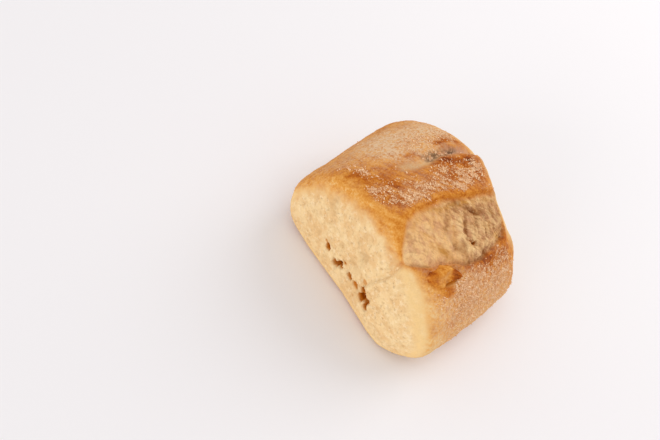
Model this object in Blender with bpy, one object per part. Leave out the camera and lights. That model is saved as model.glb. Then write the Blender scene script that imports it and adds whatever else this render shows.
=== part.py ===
"""French bread: one portion of a scored, floury loaf, resting on its flat base.

X runs across the loaf, Y along it from the near cut end to the far one, and Z up.
The constants are in millimetres and become metres when a mesh is written.
A place on the top is given across and along the loaf as if it had no rounded ends.
"""

import math

import bmesh
import bpy
import numpy as np
from mathutils import Matrix, Vector, noise
from mathutils.bvhtree import BVHTree

NAME = "french_bread"
MM = 0.001

# The loaf's section, and the length between its two cut ends.
HALF_WIDTH = 50.5
HEIGHT = 58.0
LENGTH = 79.0
WIDEST_HEIGHT = 14.5
SPAN_BELOW_WIDEST = 25.0
SHOULDER_POWER = 1.9
CROWN_POWER = 2.0
FOOT_POWER = 2.2
SECTION_SCALE = 30.0
FLANK_SKEW = 0.133
END_LEAN = 0.043

# How softly the crust turns into the cut ends and the base.
CROWN_ROUNDING = 14.0
CHEEK_ROUNDING = 10.0
CHEEK_TOP = 16.0
CROWN_FOOT = 42.0
FAR_ROUNDING = 20.0
BASE_ROUNDING = 6.0
BASE_FLATNESS = 0.02

# A range such as (20.0, 42.0) runs from where a feature starts to where it is full.
# How far the near end stands out, at stations across the loaf, and over which y and z.
END_STAND = ((-54.0, -1.0), (-42.0, 1.6), (-28.0, -0.1), (6.0, 0.3), (18.0, 1.4),
             (28.0, 2.3), (38.0, 2.6), (50.0, -0.5))
END_STAND_Y = (-10.0, -38.0)
END_STAND_Z = (46.0, 24.0)

# How far the foot, the shoulder, the flank and the far end draw in: axis, distance, and
# the ranges in x, y and z.
DRAWN_IN = (
    (0, -2.8, (20.0, 42.0), (-5.0, -35.0), (20.0, 4.0)),
    (0, 2.4, (-20.0, -46.0), (0.0, -30.0), (18.0, 34.0)),
    (0, -1.8, (32.0, 44.0), (-10.0, 12.0), (16.0, 32.0)),
    (1, -1.7, (-8.0, 30.0), (12.0, 31.0), (8.0, 28.0)),
)

# Facets of the block that the loaf is shaped from, along each direction.
LOAF_PARTS = (40, 31, 18)
CORE = (0.0, 0.0, 26.0)
CAST_REACH = 160.0
CAST_STEPS = 48
SLOPE_STEP = 0.01

# The long score: the distance across of its two lips at stations along the loaf.
EAR_LIP = ((-43.0, 28.5), (-36.0, 20.5), (-26.0, 10.5), (-19.0, 8.5), (-4.0, 8.8),
           (10.0, 12.3), (30.0, 15.5), (40.0, 19.0), (48.0, 25.0))
LOWER_LIP = ((-43.0, 29.3), (-30.0, 32.0), (-16.0, 34.0), (-8.0, 37.0), (3.0, 38.0),
             (21.0, 33.5), (48.0, 25.8))
SCORE_PARTS = (15, 50, 1)
SCORE_OPENS = (-43.0, -12.0)
SCORE_CLOSES = (48.0, 22.0)
SCORE_FLOOR = 0.9
SCORE_DEPTH = 2.2
SCORE_LEAST = 0.35
SCORE_FALL = 1.7
SCORE_ABOVE = 7.0
EAR_RISE = 1.3
EAR_WIDTH = 5.0
CREASE_DEPTH = 1.2
CREASE_WIDTH = 2.2
LOBE_RISE = 1.0
LOBE_WIDTH = 7.0
LIPS_START = (-44.0, -28.0)
LIPS_END = (34.0, 12.0)

# Ridges and crevices of the torn bloom: start and end place, width, height.
TORN_LINES = (
    ((18.4, -10.0), (29.4, -12.6), 1.4, 0.9),
    ((20.4, -8.1), (30.4, -10.2), 1.1, -0.9),
    ((19.4, -1.6), (28.6, -4.4), 1.8, 0.7),
    ((22.4, 1.0), (28.8, -0.8), 1.1, -1.1),
    ((20.6, 5.6), (29.6, 2.8), 1.4, 0.8),
    ((30.6, 0.4), (31.2, 3.6), 1.1, -1.6),
    ((19.6, 12.2), (31.6, 8.4), 1.3, 0.7),
    ((21.5, 18.4), (29.0, 15.0), 1.2, -0.8),
    ((16.0, -23.0), (29.0, -25.5), 4.6, 0.6),
)

# The short score beside it, a groove with a raised rim on the long score's side.
SHORT_SCORE = ((-10.0, -11.0), (-4.6, -10.4), (3.5, -10.0), (12.2, -10.8), (20.7, -8.2),
               (24.4, -6.5), (48.0, -6.0))
SHORT_SCORE_OPENS = (-10.0, 12.0)
SHORT_SCORE_CLOSES = (46.0, 24.0)
GROOVE_DEPTH = 2.0
GROOVE_WIDTH = 2.8
RIM_RISE = 1.4
RIM_WIDTH = 3.8
RIM_PLACE = 4.8

# The far shoulder sinks beside the long score: place, width and depth.
SHOULDER_DIPS = ((27.0, 40.0, 15.0, 2.4), (41.0, 20.0, 11.0, 1.8))

# A flake of crust lifted off the lower lip, with a slot under its free edge.
FLAKE_FOOT = (38.2, -29.0)
FLAKE_TIP = (37.4, -10.0)
FLAKE_SIZE = (3.7, 10.6, 2.4)
FLAKE_TILT = 5.0
SLOT_PLACE = (40.0, -12.4)
SLOT_SIZE = (1.2, 3.8, 1.5)

# The fold on the near end: the lower lobe stands proud of the crumb beside it.
FOLD_EDGE = ((5.0, 29.0), (11.0, 26.5), (16.0, 23.5), (21.0, 20.5), (26.0, 17.4),
             (31.0, 19.0), (35.0, 21.7), (41.0, 24.4), (48.0, 25.0))
FOLD_RISE = 1.6
FOLD_STEP = 1.4
FOLD_REACH = 15.0
FOLD_Z = (6.0, 14.0)

# Cavities in the crumb: x, z, half width, half height, depth.
NEAR_CAVITIES = (
    (-10.9, 16.5, 2.1, 1.8, 2.4),
    (-3.6, 13.6, 2.6, 2.2, 4.0),
    (-1.0, 16.2, 2.5, 2.0, 2.6),
    (6.4, 16.6, 2.0, 1.9, 2.6),
    (11.2, 17.0, 2.6, 1.9, 1.2),
    (16.6, 19.4, 2.4, 2.1, 2.4),
    (16.8, 14.8, 2.2, 2.2, 2.4),
    (19.8, 17.2, 2.6, 2.3, 3.6),
    (21.0, 13.4, 2.0, 1.8, 3.2),
)
FAR_CAVITIES = (
    (-24.0, 18.5, 2.4, 1.9, 2.6),
    (-6.5, 14.5, 1.7, 1.5, 1.9),
    (4.0, 22.0, 2.8, 2.3, 3.0),
    (15.5, 16.5, 1.9, 2.5, 2.8),
)
RAGGEDNESS = 0.3
RAGGED_GRAIN = 1.3
RAGGED_SHIFT = 0.4

# Shallow dishes in the crumb: x, z, half width, half height, depth.
NEAR_DISHES = (
    (8.8, 34.2, 3.8, 3.2, 1.5),
    (6.0, 24.0, 6.5, 4.2, 1.0),
    (-4.2, 26.6, 2.8, 2.2, 1.0),
    (-5.6, 43.8, 3.6, 2.6, 0.8),
    (-19.1, 40.7, 5.0, 3.6, 0.8),
    (-27.2, 18.6, 2.8, 2.2, 0.9),
    (-12.0, 30.5, 4.6, 3.4, 0.6),
    (46.0, 14.6, 2.6, 1.6, 1.0),
)
FAR_DISHES = (
    (-14.5, 30.5, 7.0, 5.0, 0.9),
    (20.0, 32.0, 6.0, 5.0, 0.7),
)

DISH_EDGE = 0.7

# Where the relief of the top, of the ends and of every side but the base comes in: over
# which heights, and over which tilts of the skin.
TOP_Z = (28.0, 40.0)
TOP_TILT = (0.0, 0.3)
END_TILT = (0.5, 0.9)
RELIEF_Z = (0.0, 9.0)

# Unevenness of the dough: height, wavelength, and where its pattern starts.
SWELL = (0.9, 24.0, (3.0, 7.0, 1.0))
DIMPLE = (0.35, 8.0, (9.0, 2.0, 5.0))
RUFFLE = (0.8, 4.4, (4.0, 1.0, 8.0))
RUFFLE_STRETCH = 0.34

CRUST_COLOUR = (0.62, 0.37, 0.17, 1.0)
CRUST_ROUGHNESS = 0.82


def clear_scene():
    """Remove everything the file starts with."""
    for item in list(bpy.data.objects):
        bpy.data.objects.remove(item, do_unlink=True)


def new_collection(name):
    """Return a collection of this name, linked to the scene."""
    collection = bpy.data.collections.new(name)
    bpy.context.scene.collection.children.link(collection)
    return collection


def smooth_step(value, start, end):
    """Ease from 0 at start to 1 at end."""
    share = np.clip((value - start) / (end - start), 0.0, 1.0)
    return share * share * (3.0 - 2.0 * share)


def bell(distance, width):
    """Return 1 at no distance, fading over the width."""
    return np.exp(-((distance / width) ** 2))


def at_station(value, stations):
    """Read a line given at stations, such as a lip of a score."""
    places = [place for place, _ in stations]
    widths = [width for _, width in stations]
    return np.interp(value, places, widths)


def blend_outer(first, second, reach):
    """Take the larger of two distances, rounding the edge where they meet."""
    near = np.maximum(reach - np.abs(first - second), 0.0)
    return np.maximum(first, second) + near * near / (4.0 * reach)


def section_distance(points):
    """Signed distance to the loaf's endless section, negative inside."""
    across = points[:, 0] + FLANK_SKEW * points[:, 1]
    height = points[:, 2]
    upper = height > WIDEST_HEIGHT
    span = np.where(upper, HEIGHT - WIDEST_HEIGHT, SPAN_BELOW_WIDEST)
    power = np.where(upper, CROWN_POWER, FOOT_POWER)
    side = np.abs(across / HALF_WIDTH) ** SHOULDER_POWER
    rise = np.abs((height - WIDEST_HEIGHT) / span) ** power
    return ((side + rise) ** (1.0 / SHOULDER_POWER) - 1.0) * SECTION_SCALE


def loaf_distance(points):
    """Signed distance to the whole portion, negative inside."""
    y, z = points[:, 1], points[:, 2]
    near = -(y + LENGTH / 2.0) * math.cos(END_LEAN) + z * math.sin(END_LEAN)
    far = (y - LENGTH / 2.0) * math.cos(END_LEAN) + z * math.sin(END_LEAN)
    crown = smooth_step(z, CHEEK_TOP, CROWN_FOOT)
    rounding = CHEEK_ROUNDING + (CROWN_ROUNDING - CHEEK_ROUNDING) * crown
    distance = blend_outer(section_distance(points), near, rounding)
    distance = blend_outer(distance, far, FAR_ROUNDING)
    return blend_outer(distance, -z, BASE_ROUNDING)


def settle(points):
    """Move the skin where the real loaf leans and tucks."""
    x, y, z = points.T
    moved = points.copy()
    near = smooth_step(y, *END_STAND_Y) * smooth_step(z, *END_STAND_Z)
    moved[:, 1] -= at_station(x, END_STAND) * near
    for axis, distance, in_x, in_y, in_z in DRAWN_IN:
        reach = smooth_step(x, *in_x) * smooth_step(y, *in_y) * smooth_step(z, *in_z)
        moved[:, axis] += distance * reach
    return moved


def cast(distance, directions):
    """Follow each direction from the loaf's core to where the distance is zero."""
    core = np.array(CORE)
    units = directions / np.linalg.norm(directions, axis=1)[:, None]
    inner = np.zeros(len(units))
    outer = np.full(len(units), CAST_REACH)
    for _ in range(CAST_STEPS):
        middle = (inner + outer) / 2.0
        inside = distance(core + units * middle[:, None]) < 0.0
        inner = np.where(inside, middle, inner)
        outer = np.where(inside, outer, middle)
    return core + units * inner[:, None]


def skin_normals(points):
    """Return the outward direction of the skin at each point."""
    step = SLOPE_STEP
    slopes = np.zeros_like(points)
    for axis in range(3):
        shift = np.zeros(3)
        shift[axis] = step
        slopes[:, axis] = loaf_distance(points + shift) - loaf_distance(points - shift)
    return slopes / np.linalg.norm(slopes, axis=1)[:, None]


def place_on_top(across, along):
    """Return the skin's point at a place given across and along the loaf."""
    side = np.abs((across + FLANK_SKEW * along) / HALF_WIDTH) ** SHOULDER_POWER
    share = np.maximum(1.0 - side, 0.0) ** (1.0 / CROWN_POWER)
    height = WIDEST_HEIGHT + (HEIGHT - WIDEST_HEIGHT) * share
    return cast(loaf_distance, np.column_stack([across, along, height]) - np.array(CORE))


def place_of_top(points):
    """Return how far across and along the loaf each point of the skin lies."""
    flat = cast(section_distance, points - np.array(CORE))
    return flat[:, 0], flat[:, 1]


def rolling(points, wave):
    """Return the height of an uneven pattern at each point."""
    height, length, start = wave
    start = Vector(start)
    return np.array([height * noise.noise(Vector(point) / length + start) for point in points])


def lip_relief(across, along):
    """Height of the ear and of the lobe on the two sides of the long score."""
    left = at_station(along, EAR_LIP)
    right = at_station(along, LOWER_LIP)
    reach = smooth_step(along, *LIPS_START) * smooth_step(along, *LIPS_END)
    ear = EAR_RISE * reach * bell(across - left, EAR_WIDTH)
    lobe = LOBE_RISE * reach * bell(across - right, LOBE_WIDTH)
    return np.maximum(ear, lobe)


def short_score_relief(across, along):
    """Depth of the shallow groove and height of its rim."""
    offset = across - at_station(along, SHORT_SCORE)
    opened = smooth_step(along, *SHORT_SCORE_OPENS) * smooth_step(along, *SHORT_SCORE_CLOSES)
    groove = -GROOVE_DEPTH * bell(offset, GROOVE_WIDTH)
    rim = RIM_RISE * bell(offset - RIM_PLACE, RIM_WIDTH)
    return opened * (groove + rim)


def shoulder_relief(across, along):
    """Depth of the dips in the far shoulder."""
    height = np.zeros(len(across))
    for middle_across, middle_along, width, depth in SHOULDER_DIPS:
        reach = np.hypot(across - middle_across, along - middle_along)
        height -= depth * bell(reach, width)
    return height


def fold_relief(x, z):
    """Height of the lower lobe over the crumb of the near end."""
    offset = x - at_station(z, FOLD_EDGE)
    proud = smooth_step(offset, -FOLD_STEP, FOLD_STEP)
    fading = 1.0 - smooth_step(offset, FOLD_STEP, FOLD_REACH)
    return FOLD_RISE * proud * fading * smooth_step(z, *FOLD_Z)


def dish_relief(x, z, dishes):
    """Depth of the shallow dishes of one cut end."""
    depth = np.zeros(len(x))
    for middle_x, middle_z, half_width, half_height, deep in dishes:
        reach = np.hypot((x - middle_x) / half_width, (z - middle_z) / half_height)
        depth -= deep * bell(reach, DISH_EDGE)
    return depth


def skin_relief(points, normals):
    """Height of the uneven skin over the plain form, before the long score is cut."""
    x, z = points[:, 0], points[:, 2]
    across, along = place_of_top(points)
    top = smooth_step(z, *TOP_Z) * smooth_step(normals[:, 2], *TOP_TILT)
    height = top * (lip_relief(across, along) + short_score_relief(across, along))
    height += top * shoulder_relief(across, along)
    near = smooth_step(-normals[:, 1], *END_TILT)
    far = smooth_step(normals[:, 1], *END_TILT)
    height += near * (fold_relief(x, z) + dish_relief(x, z, NEAR_DISHES))
    height += far * dish_relief(x, z, FAR_DISHES)
    height += rolling(points, SWELL) + rolling(points, DIMPLE)
    return height * smooth_step(z, *RELIEF_Z)


def raise_skin(points, lift=0.0):
    """Move points of the plain form out to the uneven skin, and further by the lift."""
    normals = skin_normals(points)
    return settle(points + normals * (skin_relief(points, normals) + lift)[:, None])


def divided_block(parts):
    """Return a cube divided along each direction."""
    mesh = bmesh.new()
    bmesh.ops.create_cube(mesh, size=2.0)
    for axis, count in enumerate(parts):
        edges = [edge for edge in mesh.edges
                 if abs(edge.verts[0].co[axis] - edge.verts[1].co[axis]) > 1.0]
        if count > 1:
            bmesh.ops.subdivide_edges(mesh, edges=edges, cuts=count - 1, use_grid_fill=True)
    return mesh


def move_vertices(mesh, points):
    """Write new places, in millimetres, into the mesh."""
    for vert, point in zip(mesh.verts, points):
        vert.co = Vector(point) * MM
    bmesh.ops.recalc_face_normals(mesh, faces=mesh.faces)


def loaf_mesh():
    """Return the loaf's closed skin before anything is cut from it."""
    mesh = divided_block(LOAF_PARTS)
    grid = np.array([vert.co for vert in mesh.verts])
    scale = np.array([HALF_WIDTH, LENGTH / 2.0, HEIGHT / 2.0])
    points = raise_skin(cast(loaf_distance, grid * scale))
    points[points[:, 2] < BASE_FLATNESS, 2] = 0.0
    move_vertices(mesh, points)
    flat = [face for face in mesh.faces if all(vert.co.z == 0.0 for vert in face.verts)]
    bmesh.ops.dissolve_faces(mesh, faces=flat, use_verts=True)
    return mesh


def score_opening(along):
    """Return 1 where the score is wide open and 0 at its two tips."""
    return smooth_step(along, *SCORE_OPENS) * smooth_step(along, *SCORE_CLOSES)


def score_depth(across, along, share):
    """Depth of the opened score at a share of the way from ear to lower lip."""
    opened = score_opening(along)
    right = at_station(along, LOWER_LIP)
    depth = SCORE_FLOOR + (SCORE_DEPTH - SCORE_FLOOR) * opened * (1.0 - share) ** SCORE_FALL
    return depth + CREASE_DEPTH * opened * bell(right - across, CREASE_WIDTH)


def torn_relief(across, along):
    """Height of the ridges and depth of the crevices of the torn bloom."""
    height = np.zeros(len(across))
    for start, end, width, rise in TORN_LINES:
        line = np.array(end) - np.array(start)
        x, y = across - start[0], along - start[1]
        share = np.clip((x * line[0] + y * line[1]) / (line @ line), 0.0, 1.0)
        height += rise * bell(np.hypot(x - share * line[0], y - share * line[1]), width)
    return height


def score_mesh():
    """Return the cutter that opens the long score; its underside is the torn bloom."""
    mesh = divided_block(SCORE_PARTS)
    grid = np.array([vert.co for vert in mesh.verts])
    share = (grid[:, 0] + 1.0) / 2.0
    along = np.interp(grid[:, 1], (-1.0, 1.0), (EAR_LIP[0][0], EAR_LIP[-1][0]))
    left = at_station(along, EAR_LIP)
    across = left + (at_station(along, LOWER_LIP) - left) * share
    depth = score_depth(across, along, share)
    plain = place_on_top(across, along)
    torn = rolling(plain * np.array([RUFFLE_STRETCH, 1.0, RUFFLE_STRETCH]), RUFFLE)
    torn += torn_relief(across, along)
    depth = np.maximum(depth - torn * score_opening(along), SCORE_LEAST)
    under = grid[:, 2] < 0.0
    move_vertices(mesh, raise_skin(plain, np.where(under, -depth, SCORE_ABOVE)))
    return mesh


def ball(mesh, size, place, turn=None):
    """Add a flattened, ragged ball to the mesh, sized and placed in millimetres."""
    verts = bmesh.ops.create_icosphere(mesh, subdivisions=2, radius=1.0)["verts"]
    turn = turn or Matrix.Identity(3)
    for vert in verts:
        start = Vector(place) * RAGGED_SHIFT
        ragged = 1.0 + RAGGEDNESS * noise.noise(vert.co * RAGGED_GRAIN + start)
        shape = Vector([ragged * part * half for part, half in zip(vert.co, size)])
        vert.co = (turn @ shape + Vector(place)) * MM


def top_frame(foot, tip):
    """Return the turn that lays a piece on the top along the line from foot to tip."""
    across = np.array([foot[0], tip[0]])
    along = np.array([foot[1], tip[1]])
    ends = raise_skin(place_on_top(across, along))
    middle = (ends[0] + ends[1]) / 2.0
    upward = Vector(skin_normals(middle[None, :])[0])
    forward = Vector(ends[1] - ends[0])
    forward = (forward - upward * forward.dot(upward)).normalized()
    turn = Matrix((forward.cross(upward), forward, upward)).transposed()
    return turn, Vector(middle)


def flake_mesh():
    """Return the flake of crust that curls off the lower lip."""
    mesh = bmesh.new()
    turn, middle = top_frame(FLAKE_FOOT, FLAKE_TIP)
    tilt = Matrix.Rotation(math.radians(FLAKE_TILT), 3, "X")
    ball(mesh, FLAKE_SIZE, middle, turn @ tilt)
    bmesh.ops.recalc_face_normals(mesh, faces=mesh.faces)
    return mesh


def add_cavities(cutter, skin, cavities, side):
    """Add a ragged ball to the cutter for each cavity of one cut end."""
    for x, z, half_width, half_height, depth in cavities:
        start = Vector((x, side * LENGTH, z)) * MM
        spot = skin.ray_cast(start, Vector((0.0, -side, 0.0)))[0] / MM
        ball(cutter, (half_width, depth, half_height), spot)


def cavity_mesh(loaf):
    """Return one cutter with every cavity and the slot under the flake."""
    cutter = bmesh.new()
    skin = BVHTree.FromBMesh(loaf)
    add_cavities(cutter, skin, NEAR_CAVITIES, -1.0)
    add_cavities(cutter, skin, FAR_CAVITIES, 1.0)
    turn, _ = top_frame(FLAKE_FOOT, FLAKE_TIP)
    slot = raise_skin(place_on_top(*np.array(SLOT_PLACE)[:, None]))[0]
    ball(cutter, SLOT_SIZE, slot, turn)
    bmesh.ops.recalc_face_normals(cutter, faces=cutter.faces)
    return cutter


def add_object(name, mesh, collection, shift, helper=False):
    """Write a mesh into a new object; a helper only cuts or joins and isn't shown.

    Four-sided faces are bent, and a Boolean cuts cleanly through flat ones only.
    """
    bent = [face for face in mesh.faces if len(face.verts) == 4]
    bmesh.ops.triangulate(mesh, faces=bent)
    bmesh.ops.translate(mesh, verts=mesh.verts, vec=shift)
    data = bpy.data.meshes.new(name)
    mesh.to_mesh(data)
    mesh.free()
    item = bpy.data.objects.new(name, data)
    collection.objects.link(item)
    item.hide_render = helper
    item.display_type = "WIRE" if helper else "TEXTURED"
    return item


def add_boolean(target, helper, operation):
    """Cut the helper from the target, or join it."""
    step = target.modifiers.new(helper.name, "BOOLEAN")
    step.operation = operation
    step.solver = "EXACT"
    step.use_self = True
    step.object = helper


def crust_material():
    """Return the bread's plain material."""
    material = bpy.data.materials.new("bread_crust")
    material.use_nodes = True
    shader = material.node_tree.nodes["Principled BSDF"]
    shader.inputs["Base Color"].default_value = CRUST_COLOUR
    shader.inputs["Roughness"].default_value = CRUST_ROUGHNESS
    shader.inputs["Metallic"].default_value = 0.0
    return material


def build():
    """Build the portion as one solid, centred over the origin on its base."""
    clear_scene()
    shown = new_collection(NAME)
    helpers = new_collection("helpers")
    loaf = loaf_mesh()
    cavities = cavity_mesh(loaf)
    places = np.array([vert.co for vert in loaf.verts])
    middle = (places.min(axis=0) + places.max(axis=0)) / 2.0
    shift = Vector((-middle[0], -middle[1], 0.0))
    bread = add_object(NAME, loaf, shown, shift)
    score = add_object("score_cutter", score_mesh(), helpers, shift, helper=True)
    flake = add_object("crust_flake", flake_mesh(), helpers, shift, helper=True)
    holes = add_object("cavity_cutter", cavities, helpers, shift, helper=True)
    add_boolean(bread, score, "DIFFERENCE")
    add_boolean(bread, flake, "UNION")
    add_boolean(bread, holes, "DIFFERENCE")
    bread.data.materials.append(crust_material())


build()
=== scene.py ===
"""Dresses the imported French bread: crust, crumb, opened score, lifted flake and flour.

Everything inside the form is worked out in millimetres and written in metres. X runs
across the loaf, Y along it from the near cut end to the far one, and Z up from the base.
"""

import logging
import math
from collections.abc import Iterator
from dataclasses import dataclass, field
from enum import Enum

import bmesh
import bpy
import numpy as np
from mathutils import Matrix, Quaternion, Vector, noise


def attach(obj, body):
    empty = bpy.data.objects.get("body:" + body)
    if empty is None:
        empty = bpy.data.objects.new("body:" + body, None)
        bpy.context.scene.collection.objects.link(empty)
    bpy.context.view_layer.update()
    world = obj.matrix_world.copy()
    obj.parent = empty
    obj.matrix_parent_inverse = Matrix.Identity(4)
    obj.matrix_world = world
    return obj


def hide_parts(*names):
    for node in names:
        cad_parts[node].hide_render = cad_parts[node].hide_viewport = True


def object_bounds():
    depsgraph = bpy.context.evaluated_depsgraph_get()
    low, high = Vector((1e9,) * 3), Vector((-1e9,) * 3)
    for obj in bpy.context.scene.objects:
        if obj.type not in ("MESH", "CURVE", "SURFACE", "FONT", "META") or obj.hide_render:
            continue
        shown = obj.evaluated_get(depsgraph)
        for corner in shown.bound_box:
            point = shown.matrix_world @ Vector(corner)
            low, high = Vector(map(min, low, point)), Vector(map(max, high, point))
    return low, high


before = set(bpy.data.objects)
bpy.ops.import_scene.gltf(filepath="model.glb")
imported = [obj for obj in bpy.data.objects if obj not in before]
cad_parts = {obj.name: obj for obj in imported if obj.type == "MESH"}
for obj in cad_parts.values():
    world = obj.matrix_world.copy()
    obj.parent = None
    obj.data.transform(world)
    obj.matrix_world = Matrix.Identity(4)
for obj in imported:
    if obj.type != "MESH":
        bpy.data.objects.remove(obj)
CAD_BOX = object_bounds()

LOG = logging.getLogger("french_bread")
MM = 0.001
BODY = "root"
NODE = "french_bread"
BAKE_MAP = "OFBake"
STREAK_TURN = 26.6
STREAK_SQUEEZE = 0.28
PATTERN_SPREAD = np.array([1.0, 1.7, -0.6])
PATTERN_FALL = 0.9
PATTERN_GAIN = 2.1

Stations = tuple[tuple[float, float], ...]
Range = tuple[float, float]
Mapped = tuple[float, float, float, float]
Colour = tuple[float, float, float, float]
Number = bpy.types.NodeSocket | float
Tint = bpy.types.NodeSocket | Colour


def smooth_step(value: np.ndarray, start: float | np.ndarray, end: float) -> np.ndarray:
    """Ease from 0 at start to 1 at end.

    Args:
        value: The numbers to ease.
        start: Where the result leaves 0, which may be above the end.
        end: Where the result reaches 1.

    Returns:
        A number from 0 to 1 for each value.
    """
    share = np.clip((value - start) / (end - start), 0.0, 1.0)
    return share * share * (3.0 - 2.0 * share)


def within(value: np.ndarray, entry: Range, leave: Range) -> np.ndarray:
    """Ease from 0 to 1 over the first range and back to 0 over the second."""
    return smooth_step(value, *entry) * (1.0 - smooth_step(value, *leave))


def unit(value: np.ndarray) -> np.ndarray:
    """Keep numbers from 0 to 1."""
    return np.clip(value, 0.0, 1.0)


def bell(distance: np.ndarray, width: float) -> np.ndarray:
    """Return 1 at no distance, fading over the width."""
    return np.exp(-((distance / width) ** 2))


def at_station(value: np.ndarray, stations: Stations) -> np.ndarray:
    """Read a line that is given at stations, such as a lip of a score."""
    return np.interp(value, [place for place, _ in stations], [size for _, size in stations])


def pattern(points: np.ndarray, length: float, start: float, octaves: int = 1) -> np.ndarray:
    """Return a smooth random pattern, from about -1 to 1, at each point.

    Args:
        points: Places in millimetres, one row each.
        length: Wavelength of the coarsest octave, in millimetres.
        start: Offset that sets one pattern apart from another.
        octaves: How many finer layers are added up.

    Returns:
        The pattern's value at each point.
    """
    places = (points / length + start * PATTERN_SPREAD).tolist()
    if octaves == 1:
        return np.array([noise.noise(place) for place in places])
    return np.array([noise.fractal(place, PATTERN_FALL, PATTERN_GAIN, octaves) for place in places])


@dataclass(frozen=True)
class Ripple:
    """A random unevenness: its height, its wavelength, its start and its octaves."""

    height: float
    length: float
    start: float
    octaves: int = 1

    def at(self, points: np.ndarray) -> np.ndarray:
        """Return the unevenness at each point."""
        return self.height * pattern(points, self.length, self.start, self.octaves)


def rippled(points: np.ndarray, ripples: tuple[Ripple, ...]) -> np.ndarray:
    """Add up ripples at each point."""
    return sum(ripple.at(points) for ripple in ripples)


def streaked(points: np.ndarray) -> np.ndarray:
    """Turn and squeeze places so that a pattern on them runs in slanting streaks.

    Args:
        points: Places in millimetres, one row each.

    Returns:
        The places along, beside and above the streaks, shortened along them.
    """
    turn = math.radians(STREAK_TURN)
    ahead = points[:, 0] * math.cos(turn) + points[:, 1] * math.sin(turn)
    aside = points[:, 1] * math.cos(turn) - points[:, 0] * math.sin(turn)
    return np.column_stack([STREAK_SQUEEZE * ahead, aside, points[:, 2]])


def from_srgb(red: int, green: int, blue: int) -> Colour:
    """Turn a screen colour into a shader's by the sRGB curve.

    Args:
        red: The red part, 0 to 255.
        green: The green part, 0 to 255.
        blue: The blue part, 0 to 255.

    Returns:
        The linear colour with full alpha.
    """
    linear = []
    for channel in (red, green, blue):
        value = channel / 255.0
        linear.append(value / 12.92 if value <= 0.04045 else ((value + 0.055) / 1.055) ** 2.4)
    return (linear[0], linear[1], linear[2], 1.0)


def read_out(data: bpy.types.bpy_prop_collection, name: str, width: int, kind: type) -> np.ndarray:
    """Read one value of everything in a mesh's list.

    Args:
        data: The list, such as the mesh's points or corners.
        name: What the value is called.
        width: How many numbers each value has.
        kind: The kind of number.

    Returns:
        One row for each value, or one number where the width is 1.
    """
    values = np.zeros(len(data) * width, dtype=kind)
    data.foreach_get(name, values)
    return values.reshape(-1, width) if width > 1 else values


def new_piece(name: str, block: bmesh.types.BMesh) -> bpy.types.Object:
    """Turn a block into a piece of the scene, and free the block.

    Args:
        name: The name of the piece and of its mesh.
        block: The finished shape, in metres.

    Returns:
        The piece.
    """
    mesh = bpy.data.meshes.new(name)
    block.to_mesh(mesh)
    block.free()
    piece = bpy.data.objects.new(name, mesh)
    bpy.context.scene.collection.objects.link(piece)
    return piece


# --------------------------------------------------------------------------- form


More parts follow.
